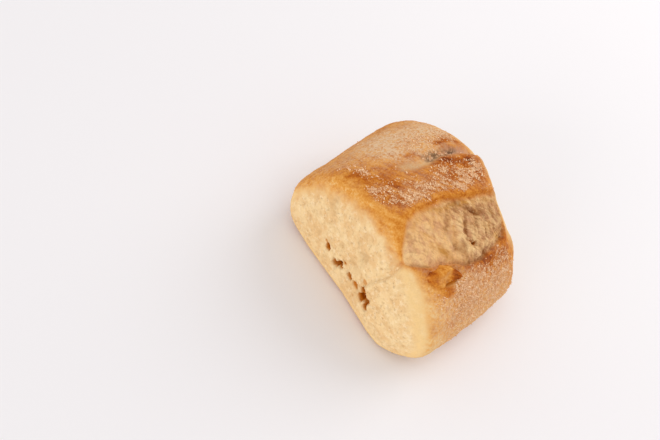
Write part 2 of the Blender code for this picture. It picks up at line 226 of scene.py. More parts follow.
@dataclass(frozen=True)
class LoafForm:
    """The plain form of the portion: an arched section between two softly cut ends."""

    half_width: float = 50.5
    height: float = 58.0
    length: float = 79.0
    widest_height: float = 14.5
    span_below: float = 25.0
    shoulder_power: float = 1.9
    crown_power: float = 2.0
    foot_power: float = 2.2
    section_scale: float = 30.0
    flank_skew: float = 0.133
    end_lean: float = 0.043
    crown_rounding: float = 14.0
    cheek_rounding: float = 10.0
    rounding_heights: Range = (16.0, 42.0)
    far_rounding: float = 20.0
    base_rounding: float = 6.0
    end_stand: Stations = (
        (-54.0, -1.0), (-42.0, 1.6), (-28.0, -0.1), (6.0, 0.3), (18.0, 1.4), (28.0, 2.3),
        (38.0, 2.6), (50.0, -0.5),
    )
    end_stand_y: Range = (-10.0, -38.0)
    end_stand_z: Range = (46.0, 24.0)
    drawn_in: tuple[tuple[int, float, Range, Range, Range], ...] = (
        (0, -2.8, (20.0, 42.0), (-5.0, -35.0), (20.0, 4.0)),
        (0, 2.4, (-20.0, -46.0), (0.0, -30.0), (18.0, 34.0)),
        (0, -1.8, (32.0, 44.0), (-10.0, 12.0), (16.0, 32.0)),
        (1, -1.7, (-8.0, 30.0), (12.0, 31.0), (8.0, 28.0)),
    )
    core_height: float = 26.0
    cast_reach: float = 160.0
    cast_steps: int = 34
    slope_step: float = 0.01

    @property
    def core(self) -> np.ndarray:
        """The point inside the loaf from which its skin is cast."""
        return np.array([0.0, 0.0, self.core_height])

    @staticmethod
    def blend_outer(
        first: np.ndarray, second: np.ndarray, reach: float | np.ndarray
    ) -> np.ndarray:
        """Take the larger distance, rounding the edge where the two meet."""
        near = np.maximum(reach - np.abs(first - second), 0.0)
        return np.maximum(first, second) + near * near / (4.0 * reach)

    def section_distance(self, points: np.ndarray) -> np.ndarray:
        """Measure from the loaf's endless section.

        Args:
            points: Places in millimetres.

        Returns:
            The signed distance of each, negative inside.
        """
        across = points[:, 0] + self.flank_skew * points[:, 1]
        height = points[:, 2]
        upper = height > self.widest_height
        span = np.where(upper, self.height - self.widest_height, self.span_below)
        power = np.where(upper, self.crown_power, self.foot_power)
        side = np.abs(across / self.half_width) ** self.shoulder_power
        rise = np.abs((height - self.widest_height) / span) ** power
        return ((side + rise) ** (1.0 / self.shoulder_power) - 1.0) * self.section_scale

    def distance(self, points: np.ndarray) -> np.ndarray:
        """Measure from the whole portion.

        Args:
            points: Places in millimetres.

        Returns:
            The signed distance of each, negative inside.
        """
        y, z = points[:, 1], points[:, 2]
        level, tilt = math.cos(self.end_lean), math.sin(self.end_lean)
        near = -(y + self.length / 2.0) * level + z * tilt
        far = (y - self.length / 2.0) * level + z * tilt
        crown = smooth_step(z, *self.rounding_heights)
        rounding = self.cheek_rounding + (self.crown_rounding - self.cheek_rounding) * crown
        result = self.blend_outer(self.section_distance(points), near, rounding)
        result = self.blend_outer(result, far, self.far_rounding)
        return self.blend_outer(result, -z, self.base_rounding)

    def cast(self, directions: np.ndarray, endless: bool = False) -> np.ndarray:
        """Follow each direction from the core out to the skin.

        Args:
            directions: One direction a row, of any length.
            endless: Whether to stop at the endless section in place of the portion.

        Returns:
            The point reached in each direction.
        """
        distance = self.section_distance if endless else self.distance
        units = directions / np.linalg.norm(directions, axis=1)[:, None]
        inner = np.zeros(len(units))
        outer = np.full(len(units), self.cast_reach)
        for _ in range(self.cast_steps):
            middle = (inner + outer) / 2.0
            inside = distance(self.core + units * middle[:, None]) < 0.0
            inner = np.where(inside, middle, inner)
            outer = np.where(inside, outer, middle)
        return self.core + units * inner[:, None]

    def settle(self, points: np.ndarray) -> np.ndarray:
        """Give the plain form its few uneven places, where the real loaf leans and tucks.

        Args:
            points: Places on the plain form's skin.

        Returns:
            The places moved, the near end out or in and the flanks in.
        """
        x, y, z = points.T
        moved = points.copy()
        near = smooth_step(y, *self.end_stand_y) * smooth_step(z, *self.end_stand_z)
        moved[:, 1] -= at_station(x, self.end_stand) * near
        for axis, distance, in_x, in_y, in_z in self.drawn_in:
            reach = smooth_step(x, *in_x) * smooth_step(y, *in_y) * smooth_step(z, *in_z)
            moved[:, axis] += distance * reach
        return moved

    def normals(self, points: np.ndarray) -> np.ndarray:
        """Find which way the skin faces.

        Args:
            points: Places on the plain form's skin.

        Returns:
            The outward direction at each.
        """
        slopes = np.zeros_like(points)
        for axis in range(3):
            shift = np.zeros(3)
            shift[axis] = self.slope_step
            slopes[:, axis] = self.distance(points + shift) - self.distance(points - shift)
        return slopes / np.linalg.norm(slopes, axis=1)[:, None]

    def on_top(self, across: np.ndarray, along: np.ndarray) -> np.ndarray:
        """Find the skin's points at places on the top.

        Args:
            across: How far across the loaf each place is.
            along: How far along the loaf each place is.

        Returns:
            The points, in millimetres.
        """
        side = np.abs((across + self.flank_skew * along) / self.half_width)
        share = np.maximum(1.0 - side**self.shoulder_power, 0.0) ** (1.0 / self.crown_power)
        height = self.widest_height + (self.height - self.widest_height) * share
        return self.cast(np.column_stack([across, along, height]) - self.core)

    def place_of(self, points: np.ndarray) -> tuple[np.ndarray, np.ndarray]:
        """Return how far across and along the loaf each point of the skin lies."""
        flat = self.cast(points - self.core, endless=True)
        return flat[:, 0], flat[:, 1]


@dataclass(frozen=True)
class LongScore:
    """The opened score: an ear on one side, a lobe on the other, torn crumb between."""

    ear_lip: Stations = (
        (-43.0, 28.5), (-36.0, 20.5), (-26.0, 10.5), (-19.0, 8.5), (-4.0, 8.8),
        (10.0, 12.3), (30.0, 15.5), (40.0, 19.0), (48.0, 25.0),
    )
    lower_lip: Stations = (
        (-43.0, 29.3), (-30.0, 32.0), (-16.0, 34.0), (-8.0, 37.0), (3.0, 38.0),
        (21.0, 33.5), (48.0, 25.8),
    )
    near_tip: Range = (-44.0, -41.0)
    far_tip: Range = (44.0, 48.0)
    least_width: float = 0.8
    wander: tuple[Ripple, Ripple] = (Ripple(0.55, 4.5, 2.3), Ripple(0.55, 4.5, 7.9))
    floor: float = 0.9
    floor_start: Range = (-46.0, -22.0)
    depth: float = 2.2
    depth_start: Range = (-43.0, -12.0)
    depth_end: Range = (22.0, 48.0)
    fall: float = 1.7
    ear_rise: float = 1.3
    ear_width: float = 5.0
    lobe_rise: float = 1.0
    lobe_width: float = 7.0
    rise_start: Range = (-44.0, -28.0)
    rise_end: Range = (12.0, 34.0)
    crease_depth: float = 1.2
    crease_width: float = 2.2
    ear_wall: Range = (-0.3, 1.5)
    lower_wall: Range = (-0.5, 0.0)
    torn_from_ear: Range = (0.5, 3.2)
    torn_to_lower: Range = (-0.8, 0.1)
    draw_reach: float = 5.0
    draw_power: float = 0.8

    def lips(self, along: np.ndarray) -> tuple[np.ndarray, np.ndarray]:
        """Find the two wandering lips.

        Args:
            along: Places along the loaf.

        Returns:
            How far across the ear's lip and the lower lip lie at each place.
        """
        line = np.column_stack([along, np.zeros_like(along), np.zeros_like(along)])
        ear = at_station(along, self.ear_lip) + self.wander[0].at(line)
        lower = at_station(along, self.lower_lip) + self.wander[1].at(line)
        return ear, np.maximum(lower, ear + self.least_width)

    def reach(self, along: np.ndarray) -> np.ndarray:
        """Return 1 along the score and 0 beyond its two tips."""
        return within(along, self.near_tip, self.far_tip)

    def draw_in(self, across: np.ndarray, along: np.ndarray) -> np.ndarray:
        """Draw places towards both lips, so that the walls there have rows to spare.

        Args:
            across: How far across the loaf each place is.
            along: How far along the loaf each place is.

        Returns:
            How far across each place is after that.
        """
        kept = self.reach(along)
        moved = across.copy()
        for lip in self.lips(along):
            offset = moved - lip
            near = np.abs(offset) < self.draw_reach
            share = np.abs(offset) / self.draw_reach
            drawn = lip + offset * share**self.draw_power
            moved = np.where(near, moved + (drawn - moved) * kept, moved)
        return moved

    def between(
        self, across: np.ndarray, along: np.ndarray, ear_edge: Range, lower_edge: Range
    ) -> np.ndarray:
        """Tell what lies between the two lips.

        Args:
            across: How far across the loaf each place is.
            along: How far along the loaf each place is.
            ear_edge: Distances past the ear's lip over which the result rises to 1.
            lower_edge: Distances past the lower lip over which it falls to 0.

        Returns:
            A share from 0 to 1 at each place.
        """
        ear, lower = self.lips(along)
        share = smooth_step(across - ear, *ear_edge)
        share *= 1.0 - smooth_step(across - lower, *lower_edge)
        return share * self.reach(along)

    def inside(self, across: np.ndarray, along: np.ndarray) -> np.ndarray:
        """Return 1 between the two lips and 0 on the crust."""
        return self.between(across, along, self.ear_wall, self.lower_wall)

    def torn(self, across: np.ndarray, along: np.ndarray) -> np.ndarray:
        """Return 1 on the torn crumb, which starts at the foot of the ear's wall."""
        return self.between(across, along, self.torn_from_ear, self.torn_to_lower)

    def rises(self, across: np.ndarray, along: np.ndarray) -> np.ndarray:
        """Measure the ear and the lobe.

        Args:
            across: How far across the loaf each place is.
            along: How far along the loaf each place is.

        Returns:
            Their height over the plain form at each place.
        """
        ear, lower = self.lips(along)
        length = within(along, self.rise_start, self.rise_end)
        ear_height = self.ear_rise * length * bell(across - ear, self.ear_width)
        lobe_height = self.lobe_rise * length * bell(across - lower, self.lobe_width)
        return np.maximum(ear_height, lobe_height)

    def hollow(self, across: np.ndarray, along: np.ndarray) -> np.ndarray:
        """Measure the hollow between the lips.

        Args:
            across: How far across the loaf each place is.
            along: How far along the loaf each place is.

        Returns:
            The depth of the torn crumb under the plain form at each place.
        """
        ear, lower = self.lips(along)
        share = unit((across - ear) / (lower - ear))
        opened = within(along, self.depth_start, self.depth_end)
        floor = self.floor * smooth_step(along, *self.floor_start)
        depth = floor + (self.depth - self.floor) * opened * (1.0 - share) ** self.fall
        return depth + self.crease_depth * opened * bell(lower - across, self.crease_width)


@dataclass(frozen=True)
class ShortScore:
    """The shallow second score, a floury groove with a browned rim beside it."""

    line: Stations = (
        (-10.0, -11.0), (-4.6, -10.4), (3.5, -10.0), (12.2, -10.8), (20.7, -8.2),
        (24.4, -6.5), (48.0, -6.0),
    )
    start: Range = (-10.0, 12.0)
    end: Range = (24.0, 46.0)
    depth: float = 2.0
    width: float = 2.8
    rim_rise: float = 1.4
    rim_width: float = 3.8
    rim_offset: float = 4.76

    def relief(self, across: np.ndarray, along: np.ndarray) -> np.ndarray:
        """Measure the groove and its rim.

        Args:
            across: How far across the loaf each place is.
            along: How far along the loaf each place is.

        Returns:
            The height at each place, below 0 in the groove.
        """
        offset = across - at_station(along, self.line)
        groove = -self.depth * bell(offset, self.width)
        rim = self.rim_rise * bell(offset - self.rim_offset, self.rim_width)
        return within(along, self.start, self.end) * (groove + rim)


@dataclass(frozen=True)
class Fold:
    """The fold on the near end, where the lower lobe stands proud of the crumb."""

    edge: Stations = (
        (5.0, 29.0), (11.0, 26.5), (16.0, 23.5), (21.0, 20.5), (26.0, 17.4), (31.0, 19.0),
        (35.0, 21.7), (41.0, 24.4), (48.0, 25.0),
    )
    rise: float = 1.6
    step: float = 0.9
    fade: float = 15.0
    crease: float = 0.8
    crease_width: float = 0.9
    foot: Range = (6.0, 14.0)

    def relief(self, x: np.ndarray, z: np.ndarray) -> np.ndarray:
        """Measure the lobe and the crease along it.

        Args:
            x: How far across the near end each place is.
            z: How high on the near end each place is.

        Returns:
            The height at each place, below 0 in the crease.
        """
        offset = x - at_station(z, self.edge)
        proud = within(offset, (-self.step, self.step), (self.step, self.fade))
        crease = self.crease * bell(offset + self.step, self.crease_width)
        return (self.rise * proud - crease) * smooth_step(z, *self.foot)


@dataclass(frozen=True)
class Hole:
    """A cavity, or a shallow dish, in the crumb of one cut end."""

    x: float
    z: float
    half_width: float
    half_height: float
    depth: float

    def reach(self, x: np.ndarray, z: np.ndarray, ragged: np.ndarray) -> np.ndarray:
        """Return 0 in the middle and 1 at the ragged rim."""
        aside, above = (x - self.x) / self.half_width, (z - self.z) / self.half_height
        return np.hypot(aside, above) + ragged


# Holes of the cut ends; their colour is painted shade, browner the deeper they are.
NEAR_HOLES = (
    Hole(-10.9, 16.7, 1.8, 2.1, 2.4),
    Hole(-13.0, 18.6, 1.0, 1.2, 1.0),
    Hole(-3.8, 13.4, 2.2, 2.4, 4.4),
    Hole(-1.2, 16.0, 2.2, 2.4, 2.8),
    Hole(0.8, 19.6, 1.2, 1.4, 1.4),
    Hole(6.2, 16.2, 1.8, 2.3, 2.8),
    Hole(11.0, 16.2, 2.6, 2.2, 1.2),
    Hole(15.2, 24.2, 1.6, 1.5, 0.7),
    Hole(16.6, 19.6, 2.2, 2.4, 2.4),
    Hole(16.8, 15.0, 2.2, 2.6, 2.6),
    Hole(19.6, 17.4, 2.4, 2.8, 3.6),
    Hole(21.8, 20.2, 1.8, 2.0, 1.7),
    Hole(21.0, 13.4, 1.9, 2.0, 3.2),
    Hole(12.2, 9.4, 0.8, 0.9, 1.0),
)
FAR_HOLES = (
    Hole(-24.0, 18.5, 2.4, 1.9, 2.6),
    Hole(-6.5, 14.5, 1.7, 1.5, 1.9),
    Hole(4.0, 22.0, 2.8, 2.3, 3.0),
    Hole(15.5, 16.5, 1.9, 2.5, 2.8),
)
# Shallow dishes, pressed into the relief and greyed with painted shade.
NEAR_DISHES = (
    Hole(8.4, 33.4, 3.8, 4.2, 1.9),
    Hole(6.0, 24.0, 6.5, 4.2, 1.0),
    Hole(-4.8, 26.0, 2.6, 2.8, 1.3),
    Hole(3.3, 38.6, 1.8, 2.6, 0.9),
    Hole(-5.6, 43.8, 3.6, 2.6, 0.8),
    Hole(-19.1, 40.7, 5.0, 3.6, 0.8),
    Hole(-27.2, 18.6, 2.8, 2.2, 0.9),
    Hole(-12.0, 30.5, 4.6, 3.4, 0.6),
    Hole(46.0, 14.6, 2.6, 1.6, 1.0),
)
# Pits of the near end: shallow dips with painted shade in them.
NEAR_PITS = (
    (-30.0, 16.9), (-9.6, 40.7), (-2.2, 48.0), (27.3, 22.0), (29.8, 25.7), (43.7, 13.7),
    (46.3, 14.9), (-20.0, 30.0), (33.0, 9.0), (-26.0, 24.0), (12.0, 42.0), (-7.4, 22.0),
)
FAR_DISHES = (
    Hole(-14.5, 30.5, 7.0, 5.0, 0.9),
    Hole(20.0, 32.0, 6.0, 5.0, 0.7),
)


@dataclass(frozen=True)
class Stroke:
    """A soft stroke on the top, along places given across and along the loaf."""

    places: Stations
    width: float
    strength: float = 1.0

    def nearness(self, across: np.ndarray, along: np.ndarray) -> np.ndarray:
        """Tell how near to the stroke each place is.

        Args:
            across: How far across the loaf each place is.
            along: How far along the loaf each place is.

        Returns:
            The stroke's strength on its line, fading to 0 beside it.
        """
        apart = np.full(len(across), np.inf)
        for start, end in zip(self.places[:-1], self.places[1:]):
            line = np.array(end) - np.array(start)
            x, y = across - start[0], along - start[1]
            share = np.clip((x * line[0] + y * line[1]) / float(line @ line), 0.0, 1.0)
            apart = np.minimum(apart, np.hypot(x - share * line[0], y - share * line[1]))
        return self.strength * bell(apart, self.width)


def painted(strokes: tuple[Stroke, ...], across: np.ndarray, along: np.ndarray) -> np.ndarray:
    """Add up strokes at places across and along the loaf."""
    return sum(stroke.nearness(across, along) for stroke in strokes)


# Crevices of the torn crumb: cut into its relief, and given painted shade where they are deepest.
CREVICES = (
    Stroke(((20.4, -8.1), (25.0, -9.6), (29.0, -12.0)), 1.4, 0.1),
    Stroke(((22.4, 1.0), (25.5, 0.4), (28.8, -0.2)), 0.7, 0.55),
    Stroke(((30.6, 0.2), (31.2, 2.4)), 0.6, 2.6),
    Stroke(((35.2, 4.4), (36.0, 5.8)), 1.1, 0.5),
    Stroke(((18.2, 6.6), (19.4, 8.0)), 0.9, 0.6),
    Stroke(((21.0, 10.2), (21.6, 11.8)), 0.8, 0.4),
    Stroke(((16.2, -6.4), (20.9, -8.3)), 0.9, 0.3),
    Stroke(((23.0, 13.2), (30.0, 10.2)), 0.8, 0.7),
    Stroke(((21.5, 18.4), (29.0, 15.0)), 0.8, 0.7),
    Stroke(((24.0, 7.4), (28.4, 5.4)), 0.7, 0.6),
    Stroke(((36.2, 16.2), (36.9, 18.0)), 0.9, 1.2),
)
TORN_RIDGES = (
    Stroke(((18.4, -10.6), (24.0, -12.2), (29.4, -13.4)), 1.6, 0.35),
    Stroke(((19.4, -1.6), (24.0, -3.0), (28.6, -4.4)), 2.4, 0.4),
    Stroke(((20.6, 5.6), (26.0, 3.6), (29.6, 2.8)), 1.1, 0.5),
    Stroke(((19.6, 12.2), (25.6, 9.6), (31.6, 8.4)), 1.0, 0.7),
    Stroke(((18.0, 19.0), (24.0, 16.4), (31.0, 13.6)), 0.9, 0.7),
    Stroke(((19.0, 25.0), (27.0, 20.6)), 0.9, 0.5),
    Stroke(((16.0, -23.0), (23.0, -25.0), (29.0, -25.5)), 4.6, 0.6),
    Stroke(((31.6, -5.0), (34.0, -1.0), (35.2, 2.0)), 1.9, 0.8),
)
TORN_LIGHT = (
    Stroke(((19.0, -28.0), (23.5, -25.5), (28.0, -24.0)), 3.6, 0.45),
    Stroke(((23.0, -37.0), (29.5, -41.0)), 3.4, 1.0),
    Stroke(((23.0, -33.0), (30.0, -31.0)), 2.8, 0.8),
    Stroke(((18.2, -18.4), (21.0, -16.0)), 2.6, 0.7),
    Stroke(((24.2, -14.4), (28.4, -13.0)), 1.5, 0.5),
    Stroke(((21.4, -1.6), (25.0, -3.4), (28.6, -4.0)), 2.0, 1.0),
    Stroke(((23.0, -10.0), (29.6, -11.6)), 0.7, 0.9),
    Stroke(((19.6, 0.6), (20.6, -1.0)), 1.4, 0.5),
    Stroke(((26.6, 3.2), (29.4, 2.4)), 0.9, 0.9),
    Stroke(((31.8, -4.0), (33.4, -1.0), (34.8, 1.0)), 1.5, 0.9),
    Stroke(((25.4, 11.0), (30.8, 12.4)), 1.2, 0.5),
    Stroke(((21.6, 15.6), (26.0, 16.0)), 1.0, 0.4),
)
TORN_GOLD = (
    Stroke(((11.6, -16.0), (12.6, -9.0), (12.6, -1.4), (14.4, 7.0)), 1.3, 0.8),
    Stroke(((15.0, -26.0), (12.6, -20.0)), 1.0, 0.5),
    Stroke(((27.8, -17.4), (29.6, -15.6)), 1.9, 1.0),
    Stroke(((13.8, 7.0), (16.0, 14.6), (17.8, 20.0)), 1.6, 0.5),
    Stroke(((31.6, 15.6), (33.6, 18.6)), 1.9, 0.9),
    Stroke(((20.2, -20.6), (22.6, -17.6)), 1.3, 0.5),
    Stroke(((38.4, 6.6), (39.2, 10.0)), 1.8, 1.0),
)
# Painted shade: brown strokes, mostly in the crevices of the torn crumb and along the foot of the
# lower lip.
TORN_SHADE = (
    Stroke(((16.4, -6.6), (20.9, -8.4)), 1.1, 0.5),
    Stroke(((21.0, -8.6), (30.2, -10.8)), 1.0, 0.3),
    Stroke(((12.6, 1.4), (13.8, 3.4)), 1.2, 0.7),
    Stroke(((17.8, 6.0), (19.8, 8.6)), 1.4, 1.1),
    Stroke(((21.2, 10.4), (21.8, 12.0)), 1.0, 0.8),
    Stroke(((22.8, 1.0), (26.4, 0.4)), 0.8, 0.6),
    Stroke(((26.4, 0.4), (28.8, -0.8)), 0.6, 0.6),
    Stroke(((29.6, -10.8), (30.6, -8.0)), 1.3, 0.6),
    Stroke(((35.0, 4.2), (36.4, 6.4)), 1.3, 1.0),
    Stroke(((35.2, -12.0), (36.4, -8.0), (36.9, -4.0), (38.0, 1.6)), 1.5, 0.5),
    Stroke(((27.6, -16.8), (29.0, -15.8)), 1.8, 0.25),
    Stroke(((29.4, -39.0), (31.0, -32.6), (32.4, -27.4)), 0.9, 0.5),
    Stroke(((36.0, 15.8), (37.0, 18.4)), 1.3, 1.0),
    Stroke(((30.0, -4.8), (32.4, -6.0)), 1.6, 0.5),
    Stroke(((22.0, 17.6), (26.4, 20.0)), 2.2, 0.4),
)
BROWNED_LIP = (
    Stroke(((37.4, 5.0), (38.6, 10.0)), 2.9, 0.13),
    Stroke(((34.6, 18.4), (34.6, 23.0)), 2.2, 0.22),
    Stroke(((35.4, -9.0), (37.0, -3.0), (38.0, 2.0)), 1.6, 0.10),
    Stroke(((36.6, -28.6), (38.6, -26.0), (41.8, -22.0), (42.0, -19.4)), 2.2, 0.14),
)
BROWNED = (
    Stroke(((-27.0, -31.0), (-16.0, -24.5), (-6.0, -19.0)), 5.2, 0.07),
    Stroke(((-24.0, -31.0), (-13.0, -25.6)), 1.7, 0.10),
    Stroke(((-14.0, -22.4), (-5.0, -17.6)), 1.7, 0.08),
    Stroke(((-12.0, -31.0), (-4.0, -27.0), (4.0, -23.0)), 3.0, 0.10),
    Stroke(((-17.0, 14.8), (-16.0, 20.0)), 1.5, 0.16),
    Stroke(((-14.4, 25.0), (-13.2, 31.5)), 1.9, 0.16),
    Stroke(((-17.4, -2.0), (-15.8, 2.0)), 2.0, 0.10),
    Stroke(((-7.0, 5.0), (-4.7, 10.0), (-3.0, 15.0), (-1.0, 20.0)), 2.0, 0.26),
    Stroke(((-14.0, -12.0), (-9.0, -4.0)), 4.0, 0.05),
    Stroke(((2.0, 8.0), (5.0, 18.0), (4.0, 30.0)), 6.0, 0.12),
    Stroke(((44.0, 6.0), (43.0, 24.0)), 6.0, 0.13),
) + BROWNED_LIP
EAR_CREST = (
    Stroke((
        (27.0, -41.5), (20.0, -36.0), (10.4, -26.6), (9.4, -20.0), (9.9, -12.2), (9.2, -3.0),
        (12.0, 6.2), (13.4, 12.7), (15.2, 17.0), (17.0, 22.8),
    ), 2.5, 1.0),
)
GOLDEN = (
    Stroke(((-28.0, -36.0), (-18.0, -38.0), (-5.7, -36.8), (6.5, -34.0), (12.0, -31.0)), 5.2, 1.0),
    Stroke(((12.0, -31.0), (16.0, -36.0), (22.0, -40.0)), 4.5, 1.0),
)
FLECKED = (
    Stroke(((-28.0, -27.0), (-16.0, -22.5), (-8.0, -22.0)), 3.0, 0.45),
    Stroke(((-9.0, -30.0), (-2.0, -26.0), (2.0, -20.9), (5.0, -12.0)), 3.4, 0.80),
    Stroke(((5.2, -14.0), (5.6, -2.0), (7.0, 8.0)), 3.2, 0.80),
    Stroke(((-2.0, -8.0), (-5.0, -14.0)), 3.0, 0.25),
    Stroke(((0.6, -12.0), (1.6, -4.0)), 2.4, 0.45),
    Stroke(((0.0, 5.0), (3.0, 12.0), (5.0, 19.0), (3.0, 26.0)), 4.8, 0.85),
    Stroke(((-12.0, 6.0), (-10.6, 14.0)), 1.6, 0.3),
    Stroke(((-22.0, 8.0), (-22.0, 24.0)), 6.0, 0.40),
    Stroke(((42.0, -14.0), (42.0, -4.0), (42.4, 8.0), (41.0, 22.0)), 3.8, 0.65),
    Stroke(((44.0, -28.0), (48.0, -18.0), (49.0, 4.0), (48.0, 24.0)), 5.5, 0.36),
)
FILMED = (
    Stroke(((-34.0, -24.0), (-32.0, -8.0)), 10.0, 0.24),
    Stroke(((-32.0, 0.0), (-28.0, 14.0), (-27.0, 30.0)), 11.0, 0.68),
    Stroke(((-20.0, -6.0), (-14.0, 8.0)), 6.0, 0.34),
    Stroke(((2.0, 6.0), (5.0, 16.0), (4.0, 26.0)), 5.5, 0.16),
    Stroke(((-8.0, -28.0), (2.0, -21.0), (5.0, -11.0)), 3.5, 0.12),
    Stroke(((42.0, -18.0), (43.0, 20.0)), 7.0, 0.24),
    Stroke(((50.0, -26.0), (52.0, 14.0)), 8.0, 0.28),
    Stroke(((44.0, -36.0), (50.0, -28.0)), 7.0, 0.40),
)
GROOVE_STROKES = {
    "ashen": Stroke(((-10.8, 5.0), (-11.2, 12.0), (-9.8, 17.0)), 2.1, 1.0),
    "pale": Stroke(((-11.6, -9.0), (-10.6, -2.0), (-9.8, 4.0), (-10.4, 9.0)), 2.1, 0.8),
    "rosy": Stroke(((-9.6, 16.4), (-7.4, 22.0), (-6.4, 28.0)), 2.2, 0.85),
}
SHOULDER_DIPS = (
    Stroke(((27.0, 39.9), (27.0, 40.1)), 15.0, 2.4),
    Stroke(((42.0, 10.0), (40.0, 30.0)), 8.0, 1.8),
)
# The gap under the flake's tip: a dip in the relief, with a painted shadow in it.
UNDER_FLAKE = (Stroke(((39.6, -20.6), (39.6, -18.0), (39.4, -15.4)), 0.9, 1.0),)


# --------------------------------------------------------------------------- pieces


class Side(Enum):
    """The sides of the block, with the part of the bake map that each one fills."""

    TOP = (2, 1, 0, 1, (0.00, 0.58, 0.58, 0.42))
    LEFT = (0, -1, 1, 2, (0.60, 0.75, 0.40, 0.25))
    RIGHT = (0, 1, 1, 2, (0.60, 0.48, 0.40, 0.25))
    NEAR = (1, -1, 0, 2, (0.00, 0.30, 0.48, 0.26))
    FAR = (1, 1, 0, 2, (0.00, 0.02, 0.48, 0.26))
    BASE = (2, -1, 0, 1, (0.50, 0.10, 0.48, 0.36))

    def __init__(
        self, axis: int, sign: int, u_axis: int, v_axis: int,
        room: tuple[float, float, float, float],
    ) -> None:
        """Keep what a side is laid out by.

        Args:
            axis: The axis that the side faces along.
            sign: Which way along it the side faces.
            u_axis: The axis laid across the map.
            v_axis: The axis laid up the map.
            room: Left, bottom, width and height of the side's room on the map.
        """
        self.axis = axis
        self.sign = sign
        self.u_axis = u_axis
        self.v_axis = v_axis
        self.room = room


def divided_block(parts: tuple[int, int, int]) -> bmesh.types.BMesh:
    """Make a cube from -1 to 1, divided into rows along each direction.

    Args:
        parts: How many rows there are along X, Y and Z.

    Returns:
        The cube, to be moulded.
    """
    block = bmesh.new()
    bmesh.ops.create_cube(block, size=2.0)
    for axis, count in enumerate(parts):
        edges = [edge for edge in block.edges
                 if abs(edge.verts[0].co[axis] - edge.verts[1].co[axis]) > 1.0]
        bmesh.ops.subdivide_edges(block, edges=edges, cuts=count - 1, use_grid_fill=True)
    return block


def mould(block: bmesh.types.BMesh, points: np.ndarray, masks: dict[str, np.ndarray]) -> None:
    """Move a block's points to their places and write their masks.

    Args:
        block: The block.
        points: The place of each of its points, in metres.
        masks: A share at each point, for each named mask.
    """
    layers = {name: block.verts.layers.float.new(name) for name in masks}
    for index, vert in enumerate(block.verts):
        vert.co = points[index]
        for name, layer in layers.items():
            vert[layer] = masks[name][index]


@dataclass
class Skin:
    """What is known of every point of the bread's skin."""

    points: np.ndarray
    normals: np.ndarray
    across: np.ndarray
    along: np.ndarray
    top: np.ndarray
    near: np.ndarray
    far: np.ndarray
    inside: np.ndarray
    opened: np.ndarray
    ragged: np.ndarray
    stray: tuple[np.ndarray, np.ndarray]

    def strayed(self, share: float = 1.0) -> tuple[np.ndarray, np.ndarray]:
        """Return the places across and along, led astray so that strokes turn out ragged."""
        return self.across + share * self.stray[0], self.along + share * self.stray[1]

    def hollows(
        self, near: tuple[Hole, ...], far: tuple[Hole, ...]
    ) -> Iterator[tuple[np.ndarray, float, np.ndarray]]:
        """Go through the hollows of both cut ends.

        Args:
            near: The hollows of the near end.
            far: The hollows of the far end.

        Yields:
            The end's share of the skin, the hollow's depth, and each point's reach from it.
        """
        x, z = self.points[:, 0], self.points[:, 2]
        for end, hollows in ((self.near, near), (self.far, far)):
            for hollow in hollows:
                yield end, hollow.depth, hollow.reach(x, z, self.ragged)

    def pit_reach(self, pit: tuple[float, float]) -> np.ndarray:
        """Return how far each point lies from a pit of the near end."""
        return np.hypot(self.points[:, 0] - pit[0], self.points[:, 2] - pit[1]) + self.ragged


@dataclass(frozen=True)
class TornCrumb:
    """The torn ridges and gaps of the opened score, smoother towards the near end."""

    squeeze: float = 0.5
    slant: float = 0.16
    ridges: tuple[Ripple, ...] = (Ripple(0.5, 4.6, 4.0), Ripple(0.34, 2.4, 8.0, 2))
    fibres: Ripple = Ripple(0.55, 1.3, 3.0, 2)
    fibre_start: Range = (-14.0, 2.0)
    lumps: Ripple = Ripple(0.4, 3.4, 13.0, 2)
    least_rough: float = 0.45
    rough_start: Range = (-18.0, -6.0)
    stray: float = 0.7

    def relief(self, skin: Skin) -> np.ndarray:
        """Measure the ridges and gaps.

        Args:
            skin: What is known of the skin's points.

        Returns:
            The height at each point over the score's floor.
        """
        across, along = skin.across, skin.along
        level = np.zeros(len(across))
        torn = np.column_stack([self.squeeze * across, along + self.slant * across, level])
        rough = self.least_rough + (1.0 - self.least_rough) * smooth_step(along, *self.rough_start)
        fibres = self.fibres.at(torn) * smooth_step(along, *self.fibre_start)
        uneven = rippled(torn, self.ridges) + fibres + self.lumps.at(skin.points)
        near = skin.strayed(self.stray)
        return rough * uneven + painted(TORN_RIDGES, *near) - painted(CREVICES, *near)


